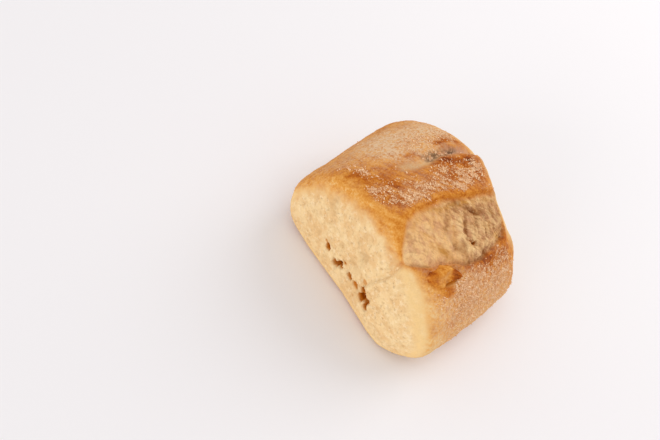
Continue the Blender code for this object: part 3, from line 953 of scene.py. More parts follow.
@dataclass(frozen=True)
class EndCrumb:
    """The holes, dishes and pores of the two cut ends, with painted shade in the holes, pits and
    dishes, and where their crumb ends.
    """

    hole_depth: float = 1.25
    hole_wall_power: float = 3.0
    hole_floor_power: float = 0.9
    dish_width: float = 0.7
    pit_depth: float = 0.5
    pores: Ripple = Ripple(0.8, 2.6, 11.0)
    pore_edge: float = 0.16
    uneven: tuple[Ripple, ...] = (Ripple(0.10, 1.1, 12.0, 2), Ripple(0.22, 4.2, 16.0, 2))
    verge: tuple[Ripple, ...] = (Ripple(0.05, 5.0, 21.0), Ripple(0.03, 1.6, 22.0))
    near_start: float = 0.75
    near_end: float = 0.99
    crown_delay: float = 0.06
    crown_heights: Range = (34.0, 42.0)
    lobe_gain: float = 0.19
    lobe_x: Range = (22.0, 30.0)
    lobe_advance: float = 0.26
    lobe_edge_x: Range = (28.0, 40.0)
    left_gain: float = 0.12
    left_x: Range = (-38.0, -46.0)
    far_start: float = 0.34
    far_delay: float = 0.30
    far_delay_x: Range = (18.0, 34.0)
    far_end: float = 0.96
    foot: Range = (0.3, 3.0)
    # Painted shade in the holes: full at this depth and fading in from each rim; the pits get a
    # weaker share.
    full_shade_depth: float = 2.2
    shade_reach: Range = (1.12, 0.55)
    pit_shade: float = 0.2
    pit_shade_width: float = 0.9
    dish_shade_strength: float = 0.42
    deepest_dish: float = 1.9
    dish_shade_width: float = 0.6
    darkest_dish_shade: float = 0.8

    def relief(self, skin: Skin) -> np.ndarray:
        """Measure the holes, dishes and pores.

        Args:
            skin: What is known of the skin's points.

        Returns:
            The height at each point, mostly below 0.
        """
        depth = np.zeros(len(skin.points))
        for end, deep, reach in skin.hollows(NEAR_HOLES, FAR_HOLES):
            floor = (1.0 - unit(reach) ** self.hole_wall_power) ** self.hole_floor_power
            depth -= self.hole_depth * end * deep * floor
        for end, deep, reach in skin.hollows(NEAR_DISHES, FAR_DISHES):
            depth -= end * deep * bell(reach, self.dish_width)
        for pit in NEAR_PITS:
            depth -= skin.near * self.pit_depth * bell(skin.pit_reach(pit), 1.0)
        pores = np.maximum(self.pores.at(skin.points) - self.pore_edge, 0.0)
        ends = np.maximum(skin.near, skin.far)
        return depth + ends * (rippled(skin.points, self.uneven) - pores)

    def share(self, skin: Skin) -> np.ndarray:
        """Tell the pale cut ends from the crust.

        Args:
            skin: What is known of the skin's points.

        Returns:
            1 on the crumb and 0 on the crust.
        """
        x, _, z = skin.points.T
        ragged = rippled(skin.points, self.verge)
        near = -skin.normals[:, 1] + self.lobe_gain * smooth_step(x, *self.lobe_x) + ragged
        near = near + self.left_gain * smooth_step(x, *self.left_x)
        start = self.near_start + self.crown_delay * smooth_step(z, *self.crown_heights)
        start -= self.lobe_advance * smooth_step(x, *self.lobe_edge_x)
        near = smooth_step(near, start, self.near_end)
        start = self.far_start + self.far_delay * smooth_step(x, *self.far_delay_x)
        far = smooth_step(skin.normals[:, 1] + ragged, start, self.far_end)
        return np.maximum(near, far) * smooth_step(z, *self.foot)

    def painted_shade(self, skin: Skin) -> np.ndarray:
        """Paint shade into the holes and pits, more the deeper a hole is.

        Args:
            skin: What is known of the skin's points.

        Returns:
            The share of painted shade: 1 deep in a hole and 0 beside it.
        """
        share = np.zeros(len(skin.points))
        for end, deep, reach in skin.hollows(NEAR_HOLES, FAR_HOLES):
            painted_shade = min(deep / self.full_shade_depth, 1.0) * smooth_step(reach, *self.shade_reach)
            share = np.maximum(share, end * painted_shade)
        for pit in NEAR_PITS:
            shade = bell(skin.pit_reach(pit), self.pit_shade_width)
            share = np.maximum(share, self.pit_shade * skin.near * shade)
        return share

    def dish(self, skin: Skin) -> np.ndarray:
        """Paint grey shade into the shallow dishes, more towards their middles.

        Args:
            skin: What is known of the skin's points.

        Returns:
            A share of painted shade that grows towards the middle of each dish.
        """
        share = np.zeros(len(skin.points))
        for end, deep, reach in skin.hollows(NEAR_DISHES, FAR_DISHES):
            tone = self.dish_shade_strength * min(deep, self.deepest_dish)
            share += end * tone * bell(reach, self.dish_shade_width)
        return np.clip(share, 0.0, self.darkest_dish_shade)


@dataclass(frozen=True)
class CrustTones:
    """How the crust is baked and floured from place to place."""

    streaks: Ripple = Ripple(1.0, 2.4, 35.0, 2)
    clouds: Ripple = Ripple(0.12, 9.0, 31.0, 2)
    bake: float = 0.52
    streak_bake: float = 0.09
    streak_film: float = 0.10
    low_heights: Range = (30.0, 12.0)
    low_paler: float = 0.20
    low_film: float = 0.18
    low_flecks: float = 0.04
    lip_across: Range = (33.0, 40.0)
    lip_along: Range = (-34.0, -12.0)
    lip_paler: float = 0.28
    lip_film: float = 0.6
    lip_flecks: float = 0.8
    lower_across: Range = (38.0, 46.0)
    lower_paler: float = 0.08
    left_across: Range = (-8.0, -26.0)
    left_paler: float = 0.10
    verge_tilt: Range = (-0.56, -0.84)
    verge_paler: float = 0.12
    golden_bake: float = 0.30
    golden_heights: Range = (30.0, 44.0)
    rim_share: float = 0.55
    near_rim: Range = (-0.66, 0.2)
    near_rim_heights: Range = (8.0, 40.0)
    far_rim: Range = (0.5, 0.16)
    far_rim_share: float = 0.35
    crest_bake: float = 0.36
    crest_deeper: float = 0.12
    crest_along: Range = (-34.0, -8.0)
    crest_flecks: float = 0.8
    film: float = 0.15
    film_heights: Range = (4.0, 24.0)
    browned_film: float = 7.0
    browned_most: float = 0.92
    flecks: float = 0.03
    fleck_heights: Range = (8.0, 26.0)
    lip_browned: float = 6.0

    def pale(self, skin: Skin) -> np.ndarray:
        """Return 1 on the pale corner of the lower lip."""
        across, along = skin.strayed()
        return smooth_step(across, *self.lip_across) * (1.0 - smooth_step(along, *self.lip_along))

    def golden(self, skin: Skin) -> np.ndarray:
        """Tell the golden edges, where the crust turns to the cut ends.

        Args:
            skin: What is known of the skin's points.

        Returns:
            1 on the golden edges and 0 elsewhere.
        """
        z, facing = skin.points[:, 2], skin.normals[:, 1]
        stroke = unit(painted(GOLDEN, *skin.strayed())) * smooth_step(z, *self.golden_heights)
        middle, width = self.near_rim
        rim = bell(facing - middle, width) * smooth_step(z, *self.near_rim_heights)
        middle, width = self.far_rim
        rim = np.maximum(rim, self.far_rim_share * bell(facing - middle, width))
        return np.maximum(stroke, self.rim_share * rim) * (1.0 - self.pale(skin))

    def masks(self, skin: Skin, crumb: np.ndarray) -> dict[str, np.ndarray]:
        """Work out the crust's masks.

        Args:
            skin: What is known of the skin's points.
            crumb: 1 on the crumb of the cut ends and 0 on the crust.

        Returns:
            The masks of its bake, its film of flour and its flecks of flour.
        """
        across, along = skin.strayed()
        z = skin.points[:, 2]
        crust = (1.0 - crumb) * (1.0 - skin.opened)
        golden, pale = self.golden(skin), self.pale(skin)
        low = smooth_step(z, *self.low_heights)
        browned = painted(BROWNED, across, along) * skin.top
        crest = painted(EAR_CREST, skin.across, skin.along) * skin.top
        streaks = self.streaks.at(streaked(skin.points))
        bake = self.bake + self.clouds.at(skin.points) + self.streak_bake * streaks
        bake += browned - self.low_paler * low - self.lip_paler * pale
        bake -= self.lower_paler * smooth_step(across, *self.lower_across)
        bake -= self.left_paler * smooth_step(across, *self.left_across)
        verge = self.verge_paler * smooth_step(skin.normals[:, 1], *self.verge_tilt)
        bake -= (bake - self.golden_bake) * golden + verge
        crest_bake = self.crest_bake + self.crest_deeper * smooth_step(along, *self.crest_along)
        bake += (crest_bake - bake) * crest
        film = self.film + painted(FILMED, across, along) * smooth_step(z, *self.film_heights)
        film += self.low_film * low + self.streak_film * streaks
        film *= 1.0 - np.clip(self.browned_film * browned, 0.0, self.browned_most)
        film = unit(film) * (1.0 - golden) * (1.0 - crest) * crust
        film *= 1.0 - self.lip_film * pale
        flecks = unit(painted(FLECKED, across, along)) * smooth_step(z, *self.fleck_heights)
        flecks = (flecks + self.flecks + self.low_flecks * low) * crust * (1.0 - golden)
        flecks *= (1.0 - self.lip_flecks * pale) * (1.0 - self.crest_flecks * unit(crest))
        lip = unit(painted(BROWNED_LIP, across, along) * self.lip_browned)
        flecks *= 1.0 - self.browned_most * lip
        return {"bake": unit(bake), "film": film, "flour": unit(flecks)}


@dataclass
class Bread:
    """The whole portion, crust and crumb, as one closed skin."""

    form: LoafForm = field(default_factory=LoafForm)
    score: LongScore = field(default_factory=LongScore)
    groove: ShortScore = field(default_factory=ShortScore)
    fold: Fold = field(default_factory=Fold)
    torn: TornCrumb = field(default_factory=TornCrumb)
    crumb: EndCrumb = field(default_factory=EndCrumb)
    tones: CrustTones = field(default_factory=CrustTones)
    parts: tuple[int, int, int] = (188, 148, 88)
    base_flatness: float = 0.02
    map_margin: float = 0.004
    drawn_heights: Range = (26.0, 34.0)
    drawn_length: float = 56.0
    top_length: float = 60.0
    top_heights: Range = (28.0, 40.0)
    top_tilt: Range = (0.0, 0.3)
    end_tilt: Range = (0.5, 0.9)
    ragged: tuple[Ripple, ...] = (Ripple(0.34, 1.7, 5.0), Ripple(0.2, 0.8, 6.0))
    stray: tuple[tuple[Ripple, ...], ...] = (
        (Ripple(1.0, 2.2, 14.0, 2), Ripple(1.6, 6.5, 17.0)),
        (Ripple(1.0, 2.2, 15.0, 2), Ripple(1.6, 6.5, 18.0)),
    )
    swells: tuple[Ripple, ...] = (Ripple(0.9, 24.0, 3.0), Ripple(0.35, 8.0, 9.0))
    grain: Ripple = Ripple(0.14, 3.2, 4.0)
    crust_grain: Ripple = Ripple(0.12, 1.5, 5.5)
    foot: Range = (0.0, 9.0)
    under_flake: float = 1.3
    # Strength of the painted shadow under the flake's tip.
    under_flake_shadow: float = 0.75
    crack_gain: float = 0.7
    crack_edge: float = 0.45
    # How the torn relief is mapped onto the height mask that sets painted shade.
    torn_shade_heights: Range = (0.5, 0.42)
    torn_over_crumb: float = 0.8
    distant: Range = (-14.0, 6.0)
    rind_tilt: Range = (0.03, 0.15)
    rind_heights: Range = (6.4, 3.4)
    shift: np.ndarray = field(default_factory=lambda: np.zeros(3))

    def survey(self, grid: np.ndarray) -> Skin:
        """Cast the block onto the form and say where each point lies.

        Args:
            grid: The block's points, from -1 to 1 on each axis.

        Returns:
            The plain skin with its places, directions and shares.
        """
        form = self.form
        scale = np.array([form.half_width, form.length / 2.0, form.height / 2.0])
        points = form.cast(grid * scale)
        across, along = form.place_of(points)
        high = smooth_step(points[:, 2], *self.drawn_heights)
        drawn = self.score.draw_in(across, along)
        moved = form.on_top(drawn, np.clip(along, -self.top_length, self.top_length))
        use = (high > 0.0) & (np.abs(along) < self.drawn_length)
        points = np.where(use[:, None], points + (moved - points) * high[:, None], points)
        return self.look_up(points)

    def look_up(self, points: np.ndarray) -> Skin:
        """Say where each point of the plain skin lies.

        Args:
            points: Points on the plain form, in millimetres.

        Returns:
            The points with their places, directions and shares.
        """
        normals = self.form.normals(points)
        across, along = self.form.place_of(points)
        top = smooth_step(points[:, 2], *self.top_heights)
        top = top * smooth_step(normals[:, 2], *self.top_tilt)
        return Skin(
            points=points,
            normals=normals,
            across=across,
            along=along,
            top=top,
            near=smooth_step(-normals[:, 1], *self.end_tilt),
            far=smooth_step(normals[:, 1], *self.end_tilt),
            inside=top * self.score.inside(across, along),
            opened=top * self.score.torn(across, along),
            ragged=rippled(points, self.ragged),
            stray=tuple(rippled(points, ripples) for ripples in self.stray),
        )

    def dough(self, skin: Skin) -> np.ndarray:
        """Measure the soft swells and dimples all over.

        Args:
            skin: What is known of the skin's points.

        Returns:
            The height at each point.
        """
        crust = unit(1.0 - skin.near - skin.far)
        fine = self.grain.at(skin.points) + crust * self.crust_grain.at(skin.points)
        return rippled(skin.points, self.swells) + fine

    def crust_relief(self, skin: Skin) -> np.ndarray:
        """Measure the crust as if the long score were shut.

        Args:
            skin: What is known of the skin's points.

        Returns:
            The height at each point over the plain form.
        """
        x, z = skin.points[:, 0], skin.points[:, 2]
        rises = self.score.rises(skin.across, skin.along)
        height = skin.top * (rises + self.groove.relief(skin.across, skin.along))
        height -= skin.top * painted(SHOULDER_DIPS, skin.across, skin.along)
        height += skin.near * self.fold.relief(x, z)
        return (height + self.dough(skin)) * smooth_step(z, *self.foot)

    def relief(self, skin: Skin) -> np.ndarray:
        """Measure the whole relief.

        Args:
            skin: What is known of the skin's points.

        Returns:
            The height at each point over the plain form.
        """
        hollow = self.score.hollow(skin.across, skin.along)
        torn = skin.inside * (self.torn.relief(skin) - hollow)
        under = self.under_flake * skin.top * painted(UNDER_FLAKE, skin.across, skin.along)
        fine = torn - under + self.crumb.relief(skin)
        return self.crust_relief(skin) + fine * smooth_step(skin.points[:, 2], *self.foot)

    def shape(self, grid: np.ndarray) -> tuple[np.ndarray, Skin]:
        """Turn the block's points into the bread's.

        Args:
            grid: The block's points, from -1 to 1 on each axis.

        Returns:
            The finished points in metres in the frame, and what is known of them.
        """
        skin = self.survey(grid)
        points = skin.points + skin.normals * self.relief(skin)[:, None]
        points = self.form.settle(points)
        points[points[:, 2] < self.base_flatness, 2] = 0.0
        low, high = points.min(axis=0), points.max(axis=0)
        wanted = (np.array(CAD_BOX[0]) + np.array(CAD_BOX[1])) / 2.0 / MM
        shift = wanted - (low + high) / 2.0
        shift[2] = 0.0
        self.shift = shift
        return (points + shift) * MM, skin

    def painted_shade_share(self, skin: Skin) -> np.ndarray:
        """Paint shade into the holes and pits, the cracks of the torn crumb and the gap under the
        flake's tip.

        Args:
            skin: What is known of the skin's points.

        Returns:
            1 in the deepest places and 0 in the open.
        """
        cracks = painted(CREVICES, *skin.strayed(self.torn.stray))
        cracks = unit(self.crack_gain * cracks - self.crack_edge) * skin.inside
        under = self.under_flake_shadow * skin.top
        under = under * painted(UNDER_FLAKE, skin.across, skin.along)
        return np.maximum(self.crumb.painted_shade(skin), np.maximum(cracks, under))

    def masks(self, skin: Skin) -> dict[str, np.ndarray]:
        """Work out how each point is coloured.

        Args:
            skin: What is known of the skin's points.

        Returns:
            A share from 0 to 1 at each point, for each named mask.
        """
        across, along = skin.strayed()
        crumb = self.crumb.share(skin)
        middle, gain = self.torn_shade_heights
        level = 1.0 - np.abs(skin.normals[:, 1])
        foot = smooth_step(skin.points[:, 2], *self.rind_heights)
        masks = {"crumb": crumb} | self.tones.masks(skin, crumb)
        masks |= {
            "bloom": skin.opened * (1.0 - self.torn_over_crumb * crumb),
            # The torn relief, which the finish turns into painted shade in its low places.
            "height": unit(middle + gain * self.torn.relief(skin)),
            "light": unit(painted(TORN_LIGHT, across, along)),
            "gold": unit(painted(TORN_GOLD, across, along)),
            # Painted shade strokes in the torn crumb.
            "torn_shade": unit(painted(TORN_SHADE, across, along)),
            "distant": smooth_step(along, *self.distant),
            # Painted shade in the holes, pits, cracks and under the flake's tip.
            "painted_shade": self.painted_shade_share(skin),
            # Painted grey shade in the shallow dishes.
            "dish": self.crumb.dish(skin),
            "rind": np.maximum(smooth_step(level, *self.rind_tilt), foot),
        }
        for name, stroke in GROOVE_STROKES.items():
            masks[name] = stroke.nearness(across, along) * skin.top
        return masks

    def unwrap(self, mesh: bpy.types.Mesh, grid: np.ndarray) -> None:
        """Lay the six sides of the block out side by side on the bake map.

        Args:
            mesh: The bread's mesh.
            grid: Where each of its points lay on the block, from -1 to 1.
        """
        corners = read_out(mesh.loops, "vertex_index", 1, np.int32)
        sizes = read_out(mesh.polygons, "loop_total", 1, np.int32)
        owner = np.repeat(np.arange(len(sizes)), sizes)
        centre = np.zeros((len(sizes), 3))
        np.add.at(centre, owner, grid[corners])
        centre /= sizes[:, None]
        axis = np.argmax(np.abs(centre), axis=1)
        sign = np.sign(centre[np.arange(len(sizes)), axis])
        places = np.zeros((len(corners), 2))
        for side in Side:
            mine = ((axis == side.axis) & (sign == side.sign))[owner]
            share = (grid[corners[mine]][:, (side.u_axis, side.v_axis)] + 1.0) / 2.0
            share = self.map_margin + (1.0 - 2.0 * self.map_margin) * share
            places[mine] = np.array(side.room[:2]) + np.array(side.room[2:]) * share
        mesh.uv_layers.new(name=BAKE_MAP).data.foreach_set("uv", places.ravel())

    def build(self) -> bpy.types.Object:
        """Build the bread's piece.

        Returns:
            The piece.
        """
        block = divided_block(self.parts)
        grid = np.array([vert.co for vert in block.verts])
        points, skin = self.shape(grid)
        mould(block, points, self.masks(skin))
        where = block.verts.layers.float_vector.new("block")
        for index, vert in enumerate(block.verts):
            vert[where] = grid[index]
        base = [face for face in block.faces if all(vert.co.z == 0.0 for vert in face.verts)]
        bmesh.ops.dissolve_faces(block, faces=base, use_verts=True)
        bmesh.ops.recalc_face_normals(block, faces=block.faces)
        for face in block.faces:
            face.smooth = len(face.verts) <= 4
        kept = np.array([vert[where] for vert in block.verts])
        block.verts.layers.float_vector.remove(where)
        piece = new_piece("bread", block)
        self.unwrap(piece.data, kept)
        return piece


@dataclass
class LiftedFlake:
    """The flake of crust that curls up from the lower lip, browned at its tip.

    Its two edges are given across the loaf at stations along it. A ridge runs beside the
    upper edge and a lobe beside the lower one, with a shallow valley between them.
    """

    upper: Stations = (
        (-31.0, 35.2), (-28.0, 33.8), (-24.0, 32.8), (-21.0, 32.7), (-18.6, 33.6),
        (-16.8, 35.0), (-15.8, 36.6), (-15.2, 38.0),
    )
    lower: Stations = (
        (-31.0, 36.4), (-27.4, 39.6), (-24.6, 42.0), (-23.0, 42.2), (-21.6, 40.8),
        (-20.0, 39.2), (-18.2, 38.7), (-16.2, 39.0), (-15.2, 38.8),
    )
    ridge: tuple[float, float, float] = (2.8, -0.5, 0.36)
    lobe: tuple[float, float, float] = (0.9, 0.25, 0.4)
    start: Range = (0.0, 0.22)
    start_sunk: float = 0.7
    root_end: Range = (0.76, 0.6)
    lift: float = 1.5
    lift_start: Range = (0.62, 0.86)
    lift_upper: float = 0.45
    lift_across: Range = (-0.8, 0.9)
    sunk_lower: float = 1.0
    sunk_across: Range = (0.1, 1.0)
    sunk_upper: float = 0.8
    sunk_width: float = 0.25
    thickness: float = 0.8
    edge_thinning: float = 0.25
    parts: tuple[int, int, int] = (84, 40, 4)
    ragged: Ripple = Ripple(0.7, 2.6, 62.0, 2)
    ragged_start: Ripple = Ripple(0.5, 1.9, 63.0)
    sides_apart: float = 4.0
    waves: tuple[Ripple, ...] = (Ripple(0.4, 3.0, 61.0), Ripple(0.16, 1.2, 64.0))
    own_start: Range = (0.02, 0.16)
    own_across: Range = (0.25, 0.85)
    bake: float = 0.33
    bake_ripple: Ripple = Ripple(0.10, 2.4, 33.0, 2)
    lower_paler: float = 0.04
    lower_across: Range = (0.0, 0.8)
    # Painted shade in the crease along the upper edge, towards the start.
    upper_edge_shade: float = 0.16
    edge: Range = (-0.95, 0.42)
    edge_end: Range = (0.7, 0.3)
    start_browner: float = 0.30
    start_end: Range = (0.5, 0.1)
    tip_browner: float = 0.42
    tip: Range = (0.70, 0.88)
    # A painted highlight down the flake's middle, carried by the film mask.
    film: float = 0.16
    highlight_across: float = 0.3
    highlight_share: Range = (0.55, 0.25)

    def places(self, share: np.ndarray, side: np.ndarray) -> tuple[np.ndarray, np.ndarray]:
        """Find where on the loaf the flake's points are.

        Args:
            share: How far from its start to its tip each point is, from 0 to 1.
            side: How far from its upper to its lower edge each point is, from -1 to 1.

        Returns:
            The places across and along the loaf.
        """
        along = np.interp(share, (0.0, 1.0), (self.upper[0][0], self.upper[-1][0]))
        upper, lower = at_station(along, self.upper), at_station(along, self.lower)
        level = np.zeros_like(along)
        line = np.column_stack([along, np.sign(side) * self.sides_apart, level])
        ragged = self.ragged.at(line) * side * side
        across = (upper + lower) / 2.0 + (lower - upper) / 2.0 * side + ragged
        return across, along + self.ragged_start.at(line)

    def rooted(self, share: np.ndarray) -> np.ndarray:
        """Return 1 where the flake still grows from the crust and 0 where it is free."""
        return smooth_step(share, *self.root_end)

    def height(self, share: np.ndarray, side: np.ndarray) -> np.ndarray:
        """Measure the flake's middle.

        Args:
            share: How far from its start to its tip each point is.
            side: How far from its upper to its lower edge each point is.

        Returns:
            The height over the crust.
        """
        grown = smooth_step(share, *self.start)
        arch = sum(
            rise * bell(side - middle, width) for rise, middle, width in (self.ridge, self.lobe)
        )
        raised = self.lift_upper + (1.0 - self.lift_upper) * smooth_step(side, *self.lift_across)
        raised *= self.lift * smooth_step(share, *self.lift_start)
        sunk = self.sunk_lower * smooth_step(side, *self.sunk_across)
        sunk += self.sunk_upper * bell(side + 1.0, self.sunk_width)
        sunk *= self.rooted(share)
        return grown * arch + raised - sunk - self.start_sunk * (1.0 - grown)

    def own(self, share: np.ndarray, side: np.ndarray) -> np.ndarray:
        """Return 1 where the flake has its own colour and 0 where it grows from the crust."""
        joined = self.rooted(share) * smooth_step(side, *self.own_across)
        return smooth_step(share, *self.own_start) * (1.0 - joined)

    def baked(self, share: np.ndarray, side: np.ndarray) -> np.ndarray:
        """Tell how deeply the flake is baked, darkest at its two ends, with painted shade along its
        upper edge near its start.

        Args:
            share: How far from its start to its tip each point is.
            side: How far from its upper to its lower edge each point is.

        Returns:
            The bake at each point.
        """
        lower = smooth_step(side, *self.lower_across)
        bake = self.bake - self.lower_paler * lower
        # Painted shade along the upper edge.
        edge = bell(side - self.edge[0], self.edge[1])
        bake += self.upper_edge_shade * edge * smooth_step(share, *self.edge_end)
        bake += self.start_browner * smooth_step(share, *self.start_end) * (1.0 - lower)
        return bake + self.tip_browner * smooth_step(share, *self.tip)

    def masks(
        self, crust: dict[str, np.ndarray], share: np.ndarray, side: np.ndarray, ripple: np.ndarray
    ) -> dict[str, np.ndarray]:
        """Blend the crust's masks with the flake's own.

        Args:
            crust: The masks of the crust under the flake.
            share: How far from its start to its tip each point is.
            side: How far from its upper to its lower edge each point is.
            ripple: How unevenly the flake is baked.

        Returns:
            The masks of the flake.
        """
        own = self.own(share, side)
        masks = {name: mask * (1.0 - own) for name, mask in crust.items()}
        masks["bake"] += own * unit(self.baked(share, side) + ripple)
        # Painted highlight: a pale streak in the valley along the flake's middle, put in the film
        # mask.
        middle, width = self.highlight_share
        film = self.film * bell(side, self.highlight_across) * bell(share - middle, width)
        masks["film"] += own * film
        return masks

    def build(self, bread: Bread) -> bpy.types.Object:
        """Build the flake's piece on the bread.

        Args:
            bread: The bread it grows from, already shaped.

        Returns:
            The piece.
        """
        block = divided_block(self.parts)
        length, side, depth = np.array([vert.co for vert in block.verts]).T
        share = (length + 1.0) / 2.0
        side = side * np.sqrt(1.0 - self.edge_thinning * depth * depth)
        skin = bread.look_up(bread.form.on_top(*self.places(share, side)))
        height = self.height(share, side) + rippled(skin.points, self.waves)
        height += bread.crust_relief(skin) + 0.5 * self.thickness * depth
        points = skin.points + skin.normals * height[:, None]
        points = (bread.form.settle(points) + bread.shift) * MM
        ripple = self.bake_ripple.at(skin.points)
        mould(block, points, self.masks(bread.masks(skin), share, side, ripple))
        bmesh.ops.recalc_face_normals(block, faces=block.faces)
        for face in block.faces:
            face.smooth = True
        return new_piece("lifted_flake", block)


@dataclass
class FlourDusting:
    """Coarse flour scattered over the crust, every grain a small angular stone."""

    doublings: int = 13
    grain_points: int = 12
    smallest: float = 0.14
    largest: float = 0.34
    few_large: float = 2.5
    flatness: Range = (0.55, 1.1)
    stretch: Range = (1.0, 2.6)
    stand: float = 0.3
    seed: int = 41
    clumps: float = 0.3
    drifts: Ripple = Ripple(1.7, 2.2, 51.0, 2)
    knots: Ripple = Ripple(1.0, 1.6, 52.0)
    clump_limits: Range = (0.04, 2.2)
    gathering: float = 1.5
    lowest: float = 4.0
    map_cells: int = 91
    map_share: float = 0.35

    def grains(self) -> bmesh.types.BMesh:
        """Double one grain until there are enough.

        Returns:
            The grains, all in one place.
        """
        block = bmesh.new()
        bmesh.ops.create_icosphere(block, subdivisions=1, radius=1.0)
        for _ in range(self.doublings):
            bmesh.ops.duplicate(block, geom=block.verts[:] + block.edges[:] + block.faces[:])
        return block

    def places(self, bread: bpy.types.Object) -> tuple[np.ndarray, np.ndarray]:
        """Draw where the grains lie on the bread, most where it is floury.

        Args:
            bread: The piece that carries the grains.

        Returns:
            The places in metres and the outward directions there.
        """
        mesh = bread.data
        mesh.calc_loop_triangles()
        corners = read_out(mesh.loop_triangles, "vertices", 3, np.int32)
        points = read_out(mesh.vertices, "co", 3, float)
        flour = read_out(mesh.attributes["flour"].data, "value", 1, float)
        first, second, third = (points[corners[:, k]] for k in range(3))
        facing = np.cross(second - first, third - first)
        area = np.linalg.norm(facing, axis=1) / 2.0
        clumps = self.clumps + self.drifts.at(streaked(first / MM)) + self.knots.at(first / MM)
        weight = area * flour[corners].mean(axis=1) ** self.gathering
        weight *= np.clip(clumps, *self.clump_limits)
        weight[first[:, 2] < self.lowest * MM] = 0.0
        draw = np.random.default_rng(self.seed)
        chosen = draw.choice(len(corners), size=2**self.doublings, p=weight / weight.sum())
        share = draw.random((len(chosen), 2))
        folded = share.sum(axis=1) > 1.0
        share[folded] = 1.0 - share[folded]
        spot = first[chosen] + (second - first)[chosen] * share[:, :1]
        spot += (third - first)[chosen] * share[:, 1:]
        normal = facing[chosen] / np.linalg.norm(facing[chosen], axis=1)[:, None]
        return spot, normal

    def build(self, bread: bpy.types.Object) -> bpy.types.Object:
        """Build the dusting's piece on the bread.

        Args:
            bread: The piece that carries the grains.

        Returns:
            The piece.
        """
        block = self.grains()
        shape = np.array([vert.co for vert in block.verts]).reshape(-1, self.grain_points, 3)
        spot, normal = self.places(bread)
        draw = np.random.default_rng(self.seed + 1)
        count = len(shape)
        size = self.largest - self.smallest
        size = (self.smallest + size * draw.random(count) ** self.few_large) * MM
        stretch = draw.uniform(*self.flatness, (count, 3))
        stretch[:, 0] = draw.uniform(*self.stretch, count)
        turns = [Quaternion(draw.normal(size=4)).normalized().to_matrix() for _ in range(count)]
        turns = np.array([np.array(turn) for turn in turns])
        grain = np.einsum("nij,nkj->nki", turns, shape * stretch[:, None, :])
        grain = grain * size[:, None, None]
        grain += (spot + normal * (self.stand * size)[:, None])[:, None, :]
        tone = np.repeat(draw.random(count), self.grain_points)
        piece = new_piece("coarse_flour", block)
        mesh = piece.data
        mesh.vertices.foreach_set("co", grain.ravel())
        mesh.attributes.new("tone", "FLOAT", "POINT").data.foreach_set("value", tone)
        self.unwrap(mesh, shape)
        mesh.update()
        return piece

    def unwrap(self, mesh: bpy.types.Mesh, shape: np.ndarray) -> None:
        """Give each grain a small square of the bake map.

        Args:
            mesh: The dusting's mesh.
            shape: The points of every grain before it was turned.
        """
        corners = read_out(mesh.loops, "vertex_index", 1, np.int32)
        grain = corners // self.grain_points
        flat = shape.reshape(-1, 3)[corners, :2]
        cell = np.column_stack([grain % self.map_cells, grain // self.map_cells])
        places = (cell + 0.5 + self.map_share * flat) / self.map_cells
        mesh.uv_layers.new(name=BAKE_MAP).data.foreach_set("uv", places.ravel())


# --------------------------------------------------------------------------- finishes


class Joining(Enum):
    """The ways in which a material joins two numbers."""

    PLUS = "ADD"
    LESS = "SUBTRACT"
    TIMES = "MULTIPLY"
    LARGER = "MAXIMUM"


class Blend(Enum):
    """The ways in which a material joins two colours."""

    MIXED = "MIX"
    SHADED = "MULTIPLY"


